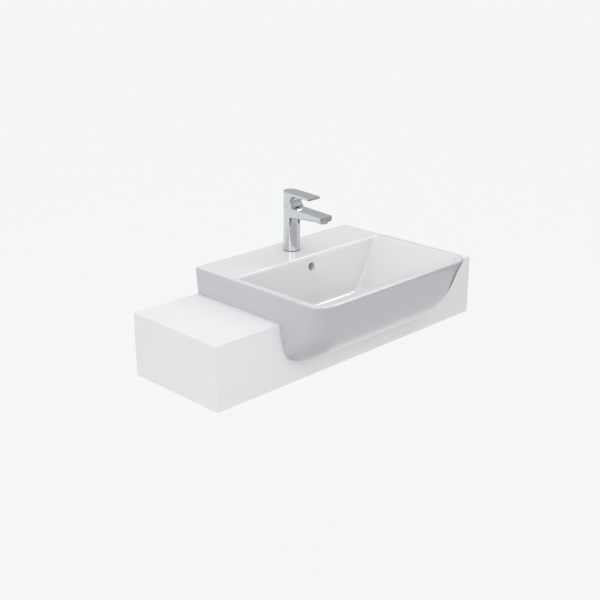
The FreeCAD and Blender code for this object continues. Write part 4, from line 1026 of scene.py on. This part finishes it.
@dataclass
class Mixer:
    """The single-lever mixer: the column with its spout, and the lever."""

    deck: float = 233.5
    y: float = 154
    half: float = 21
    corner: float = 4
    foot: float = 1.2
    foot_radius: float = 22.4
    neck_radius: float = 20.6
    column: float = 92.4
    spout_under: float = 92
    spout_top: float = 117
    spout_reach: float = 125
    spout_fall: float = 3.0
    spout_rise: float = 3.2
    nose: float = 10.5
    sink: float = 1.1
    outlet: float = 110
    collar: Profile = ((0, 0), (13.6, 0), (14, 0.4), (14, 6), (0, 6))
    keel_wide: float = 8
    keel_tall: float = 9.5
    seam: float = 118
    seam_radius: float = 36
    seam_gap: float = 0.4
    lever_top: float = 158
    lever_reach: float = 82
    lever_fall: float = 2.6
    blade: float = 6.5
    neck: float = 15
    notch: float = 15.4
    grub: float = 131
    cap_bore: float = 3.45
    grub_bore: float = 2.55
    behind: float = -24
    cartridge_bore: float = 17.5
    outlet_bore: float = 12
    stud_bore: float = 4
    hose_bore: float = 5
    hose_x: float = 8

    def __post_init__(self) -> None:
        """Work out the shared heights."""
        self.spout_z = self.deck + self.spout_under
        self.seam_z = self.deck + self.seam
        self.pivot = Vector((0, self.y, self.seam_z - sqrt(self.seam_radius ** 2 - self.half ** 2)))

    def plan(self, name: str, reach: float, low: float, high: float) -> Piece:
        """A prism with a round back that runs this far to the user.

        Args:
            name: Its name.
            reach: How far its front is from the axis.
            low: Its lower face.
            high: Its upper face.

        Returns:
            The prism.
        """
        front, corner = self.y - reach, self.corner
        outline = [Vector((-self.half, self.y, low)), Vector((-self.half, front + corner, low))]
        for sign, start in ((-1, 180), (1, 270)):
            centre = Vector((sign * (self.half - corner), front + corner, low))
            for step in range(1, 7):
                turn = radians(start + 90 * step / 6)
                outline.append(centre + Vector((cos(turn), sin(turn), 0)) * corner)
            if sign < 0:
                outline.append(Vector((self.half - corner, front, low)))
        for step in range(48):
            turn = pi * step / 48
            outline.append(Vector((self.half * cos(turn), self.y + self.half * sin(turn), low)))
        return extruded(name, outline, Vector((0, 0, high - low)))

    def profile(self, name: str, points: Profile) -> Piece:
        """A side view, drawn out across the tap; points are distance to the user and height over the deck."""
        outline = [Vector((-30, self.y - forward, self.deck + height)) for forward, height in points]
        return extruded(name, outline, Vector((60, 0, 0)))

    def zone(self, name: str, front: float, back: float, low: float, high: float) -> Piece:
        """A block about the head.

        Args:
            name: Its name.
            front: Its reach before the axis.
            back: Its reach behind the axis.
            low: Its reach under the spout.
            high: Its reach over the seam.

        Returns:
            The block.
        """
        first = Vector((-40, self.y - front, self.spout_z - low))
        last = Vector((40, self.y + back, self.seam_z + high))
        return primitive("cube", name, size=1.0, location=(first + last) / 2 * MM, scale=(last - first) * MM)

    def keel(self, rise: float) -> Piece:
        """The spout's section, rounded below, drawn out along its underside.

        Args:
            rise: How steeply the underside rises.

        Returns:
            The space that the head keeps to.
        """
        side, over = self.half + 1, 70.0
        start, end = self.y + 1, self.y - self.spout_reach - 6
        turns = [radians(7.5 * step) for step in range(13)]
        rings = []
        for y, share in ((start, 0.06), (start - self.half, 0.3), (end, 1.0)):
            low = self.spout_z + (self.y - self.half - y) * rise
            right = [(self.half - self.keel_wide * share * (1 - cos(turn)),
                      self.keel_tall * share * (1 - sin(turn))) for turn in turns]
            left = [(-x, z) for x, z in reversed(right)]
            rings.append([Vector((x, y, low + z)) for x, z in ((side, over), *right, *left, (-side, over))])
        poles = [[Vector((0, ring[0].y, self.spout_z + over / 2))] * len(ring)
                 for ring in (rings[0], rings[-1])]
        keel = closed(lofted("Keel", [poles[0], *rings, poles[1]]))
        return combine(keel, self.zone("BehindKeel", 0, 40, 12, 45), "UNION")

    def body(self) -> Piece:
        """Column, spout and seam as one shell, with the bores that other pieces sit in.

        Returns:
            The shell.
        """
        fall, rise = (tan(radians(angle)) for angle in (self.spout_fall, self.spout_rise))
        end, over = self.spout_reach + 2, self.seam + 8
        side = [(self.behind, over), (self.nose, over),
                (self.nose, self.spout_top + self.half * fall - self.sink),
                (end, self.spout_top + self.sink - (end + self.nose) * fall),
                (end, self.spout_under + (end - self.half) * rise), (self.half, self.spout_under),
                (self.behind, self.spout_under)]
        plan = self.plan("HeadPlan", self.spout_reach, self.spout_z - 2, self.seam_z + 20)
        head = combine(self.profile("HeadProfile", side), plan, "INTERSECT")
        combine(head, self.keel(rise), "INTERSECT")
        cover = ball("SeamBall", self.seam_radius, self.pivot)
        combine(cover, self.zone("SeamZone", self.nose, 40, 9, 40), "INTERSECT")
        combine(cover, self.zone("NoseZone", 140, -self.nose, 9, 40), "UNION")
        combine(head, cover, "INTERSECT")
        soften(head, 0.7)
        column = [(0, 0), (self.foot_radius - 0.5, 0), (self.foot_radius, 0.5), (self.foot_radius - 0.15, 8),
                  (self.neck_radius + 0.25, 80), (self.neck_radius, self.column), (0, self.column)]
        combine(head, turned("Column", column, self.y, self.deck + self.foot), "UNION")
        outlet, low = self.y - self.outlet, self.spout_z + (self.outlet - self.half) * rise - 3.5
        combine(head, turned("Collar", self.collar, outlet, low, 64), "UNION")
        under = self.deck - 2
        for radius, x, y, start, stop, around in (
                (self.cartridge_bore, 0, self.y, self.deck + 58, self.seam_z + 30, 64),
                (self.outlet_bore, 0, outlet, low - 2, low + 12, 64),
                (self.stud_bore, 0, self.y + 11, under, self.deck + 17, 32),
                (self.hose_bore, -self.hose_x, self.y - 2, under, self.deck + 19, 32),
                (self.hose_bore, self.hose_x, self.y - 2, under, self.deck + 19, 32)):
            drill(head, radius, (x, y, start), (x, y, stop), around)
        return finished(head, "tap_shell", 28.0)

    def lever(self) -> Piece:
        """The lever: a blade with a round back over a hollowed neck.

        Returns:
            The lever.
        """
        tilt = radians(self.lever_fall)
        fall, notch, end = tan(tilt), self.notch, self.lever_reach + 3
        low, top = self.seam + self.seam_gap, self.lever_top
        centre_y, centre_z = self.neck + notch, top - self.blade - notch - (self.neck + self.half) * fall
        points = [(self.behind, low - 9), (self.half, low - 9), (self.half, low)]
        for step in range(37):
            turn = 1.5 * pi - (pi - tilt) * step / 36
            height = centre_z + notch * sin(turn)
            forward = centre_y + notch * cos(turn)
            if step > 8 or forward < self.half:
                points.append((forward, height))
        root, under = points[-1]
        points += [(end, under - (end - root) * fall), (end, top - (end + self.half) * fall),
                   (self.behind, top + 3 * fall)]
        lever = combine(self.profile("LeverProfile", points), self.plan(
            "LeverPlan", self.lever_reach, self.seam_z - 30, self.deck + top + 5), "INTERSECT")
        soften(lever, 0.6)
        combine(lever, ball("SeamClear", self.seam_radius + self.seam_gap, self.pivot), "DIFFERENCE")
        back, height = self.y + self.half, self.deck + self.grub
        for radius, start, stop, around in ((self.cap_bore, -2.5, 9, 40), (self.grub_bore, -16, 0, 32)):
            drill(lever, radius, (0, back + start, height), (0, back + stop, height), around)
        return finished(lever, "lever_shell", 28.0)

    def build(self) -> None:
        """Make and dress the mixer."""
        dress(self.body(), "chrome", ROOT, "tap_body")
        dress(self.lever(), "chrome", "lever", "tap_lever")


# ---- waste

@dataclass
class Waste:
    """What shows of the waste from above: the crowned plug."""

    y: float = -24
    cap_low: float = 104.6
    radius: float = 30.5
    edge: float = 2.6
    crown: float = 4.4

    def build(self) -> None:
        """Make and dress the plug's cap."""
        radius, edge = self.radius, self.edge
        crown = [(radius * cos(turn), edge + self.crown * sin(turn))
                 for turn in (radians(90 * step / 14) for step in range(1, 14))]
        profile = [(0, 0), (radius - 1, 0), (radius - 0.3, 0.3), (radius, 1), (radius, edge), *crown,
                   (0, edge + self.crown)]
        dress(smooth(turned("plug_crown", profile, self.y, self.cap_low)), "chrome", "plug", "plug_cap")


# ---- small pieces

ROUND = ("waste_body", "waste_seal", "waste_gasket", "slip_washer", "backnut", "tailpiece", "plug_stem",
         "click_housing", "plug_seal", "aerator_housing", "aerator_insert", "base_ring", "screw_cap",
         "grub_screw", "cover_ring", "fixing_stud", "clamp_studs", "cartridge_nut", "cartridge_housing",
         "spindle", "inlet_insert")


def small_pieces() -> None:
    """Smooth the turned pieces, and give every other node its finish."""
    slots = {part["node"]: part["material_slot"] for part in frame["record"]["subparts"]}
    for body, nodes in frame["record"]["behaviour"]["bodies"].items():
        for node in nodes:
            piece, slot = frame["nodes"][node], slots[node]
            if piece.hide_render:
                continue
            if node in ROUND:
                dress(smooth(copied(f"smooth_{node}", node)), slot, body, node)
            else:
                paint(piece, MATERIALS[slot])
                LOG.info("%s: finish %s", node, slot)


# ---- studio

@dataclass
class Studio:
    """Pale floor, soft lamps, cards for the metal to reflect, and the camera at the photograph's angle."""

    floor_z: float = -0.62
    ground: Colour = srgb(247, 249, 248)
    shown: float = 0.95
    bounce: Colour = (0.76, 0.76, 0.76)
    ambient: float = 0.78
    card_reach: float = 1500.0
    card_top: float = 380.0
    aim: Point = (0.0, 0.0, 0.15)
    lens: float = 63.315
    place: Point = (-1.8481, -1.7331, 1.0568)
    pitch: float = 20.069
    yaw: float = 44.872

    def floor(self) -> None:
        """A wide pale floor that the camera and reflections see plain, with little of the object's shadow."""
        floor = primitive("plane", "floor", size=120.0, location=(0, 0, self.floor_z))
        made, graph = blank("pale_floor")
        seen = graph.any_ray("Camera", "Glossy", "Transmission") * self.shown
        shade = graph.node("BsdfDiffuse", {"Color": rgba(self.bounce)})
        graph.show(graph.blend(seen, shade, graph.glow("Emission", self.ground)))
        paint(floor, made)

    def world(self) -> None:
        """A pale surround, weaker on the right; reflections see it grey low down and bright overhead."""
        world = bpy.context.scene.world or bpy.data.worlds.new("surround")
        bpy.context.scene.world = world
        world.use_nodes = True
        graph = Graph(world.node_tree)
        side, _, height = graph.split(graph.node("TexCoord", output="Generated"))
        tone = graph.mix(height.step(0.5, 0.8), (0.56, 0.56, 0.57), (0.9, 0.9, 0.9))
        light = graph.glow("Background", (1, 1, 1), (1.1 - side.step(-0.4, 0.9) * 0.5) * self.ambient)
        lit = graph.blend(graph.any_ray("Glossy"), light, graph.glow("Background", tone))
        seen = graph.any_ray("Camera", "Transmission")
        graph.show(graph.blend(seen, lit, graph.glow("Background", self.ground)), "World")

    def lamp(self, name: str, place: Vector, size: float, power: float) -> None:
        """A soft square lamp that looks at the basin.

        Args:
            name: The lamp's name.
            place: Where it stands, in metres.
            size: Its side, in metres.
            power: Its power, in watts.
        """
        clear_selection()
        bpy.ops.object.light_add(type="AREA", location=place)
        lamp = bpy.context.active_object
        lamp.name = name
        lamp.data.shape, lamp.data.size, lamp.data.energy = "SQUARE", size, power
        lamp.rotation_euler = (place - Vector(self.aim)).to_track_quat("Z", "Y").to_euler()

    def flag(self, name: str, start: float, end: float, tone: float) -> None:
        """An upright card that only reflections show, between two angles to the right of the camera.

        Args:
            name: The card's name.
            start: Where it begins, in degrees.
            end: Where it ends, in degrees.
            tone: Its grey.
        """
        steps, reach = 16, self.card_reach
        card = primitive("grid", name, x_subdivisions=steps, y_subdivisions=1, size=1.0)
        turns = [radians(270.0 - self.yaw + start + (end - start) * step / steps)
                 for step in range(steps + 1)]
        place_points(card, [Vector((reach * cos(turn), reach * sin(turn), height))
                            for height in (self.floor_z / MM, self.card_top) for turn in turns])
        made, graph = blank(name)
        graph.show(graph.glow("Emission", (tone, tone, tone * 1.02)))
        paint(card, made)
        card.visible_camera = card.visible_diffuse = card.visible_shadow = False

    def camera(self) -> None:
        """The camera, from the photograph's own lines."""
        clear_selection()
        turn = (radians(90 - self.pitch), 0.0, radians(-self.yaw))
        bpy.ops.object.camera_add(location=self.place, rotation=turn)
        camera = bpy.context.active_object
        camera.data.sensor_width, camera.data.lens = 36.0, self.lens
        camera.data.clip_start, camera.data.clip_end = 0.05, 300.0
        bpy.context.scene.camera = camera

    def build(self) -> None:
        """Set up the studio."""
        self.floor()
        self.world()
        lamps = (("overhead", (-0.3, 0.1, 2.6), 2.4, 12.0), ("left", (-2.6, -1.0, 1.4), 1.8, 10.0),
                 ("front", (-0.9, -2.9, 1.3), 2.2, 10.0), ("spark", (1.35, 0.0, 1.7), 0.5, 4.5),
                 ("front_spark", (-0.5, -1.65, 1.5), 0.4, 2.5))
        for name, place, size, power in lamps:
            self.lamp(name, Vector(place), size, power)
        flags = (("dark_flag", -36.0, 10.0, 0.2), ("grey_flag", 10.0, 112.0, 0.42),
                 ("wide_flag", 112.0, 176.0, 0.06))
        for name, start, end, tone in flags:
            self.flag(name, start, end, tone)
        self.camera()
        bpy.context.scene.view_settings.view_transform = "Standard"


def main() -> None:
    """Dress the object, piece by piece, and set up the studio."""
    logging.basicConfig(level=logging.INFO, format="%(message)s")
    Studio().build()
    Basin().build()
    Counter().build()
    Mixer().build()
    Waste().build()
    small_pieces()


if __name__ == "__main__":
    main()
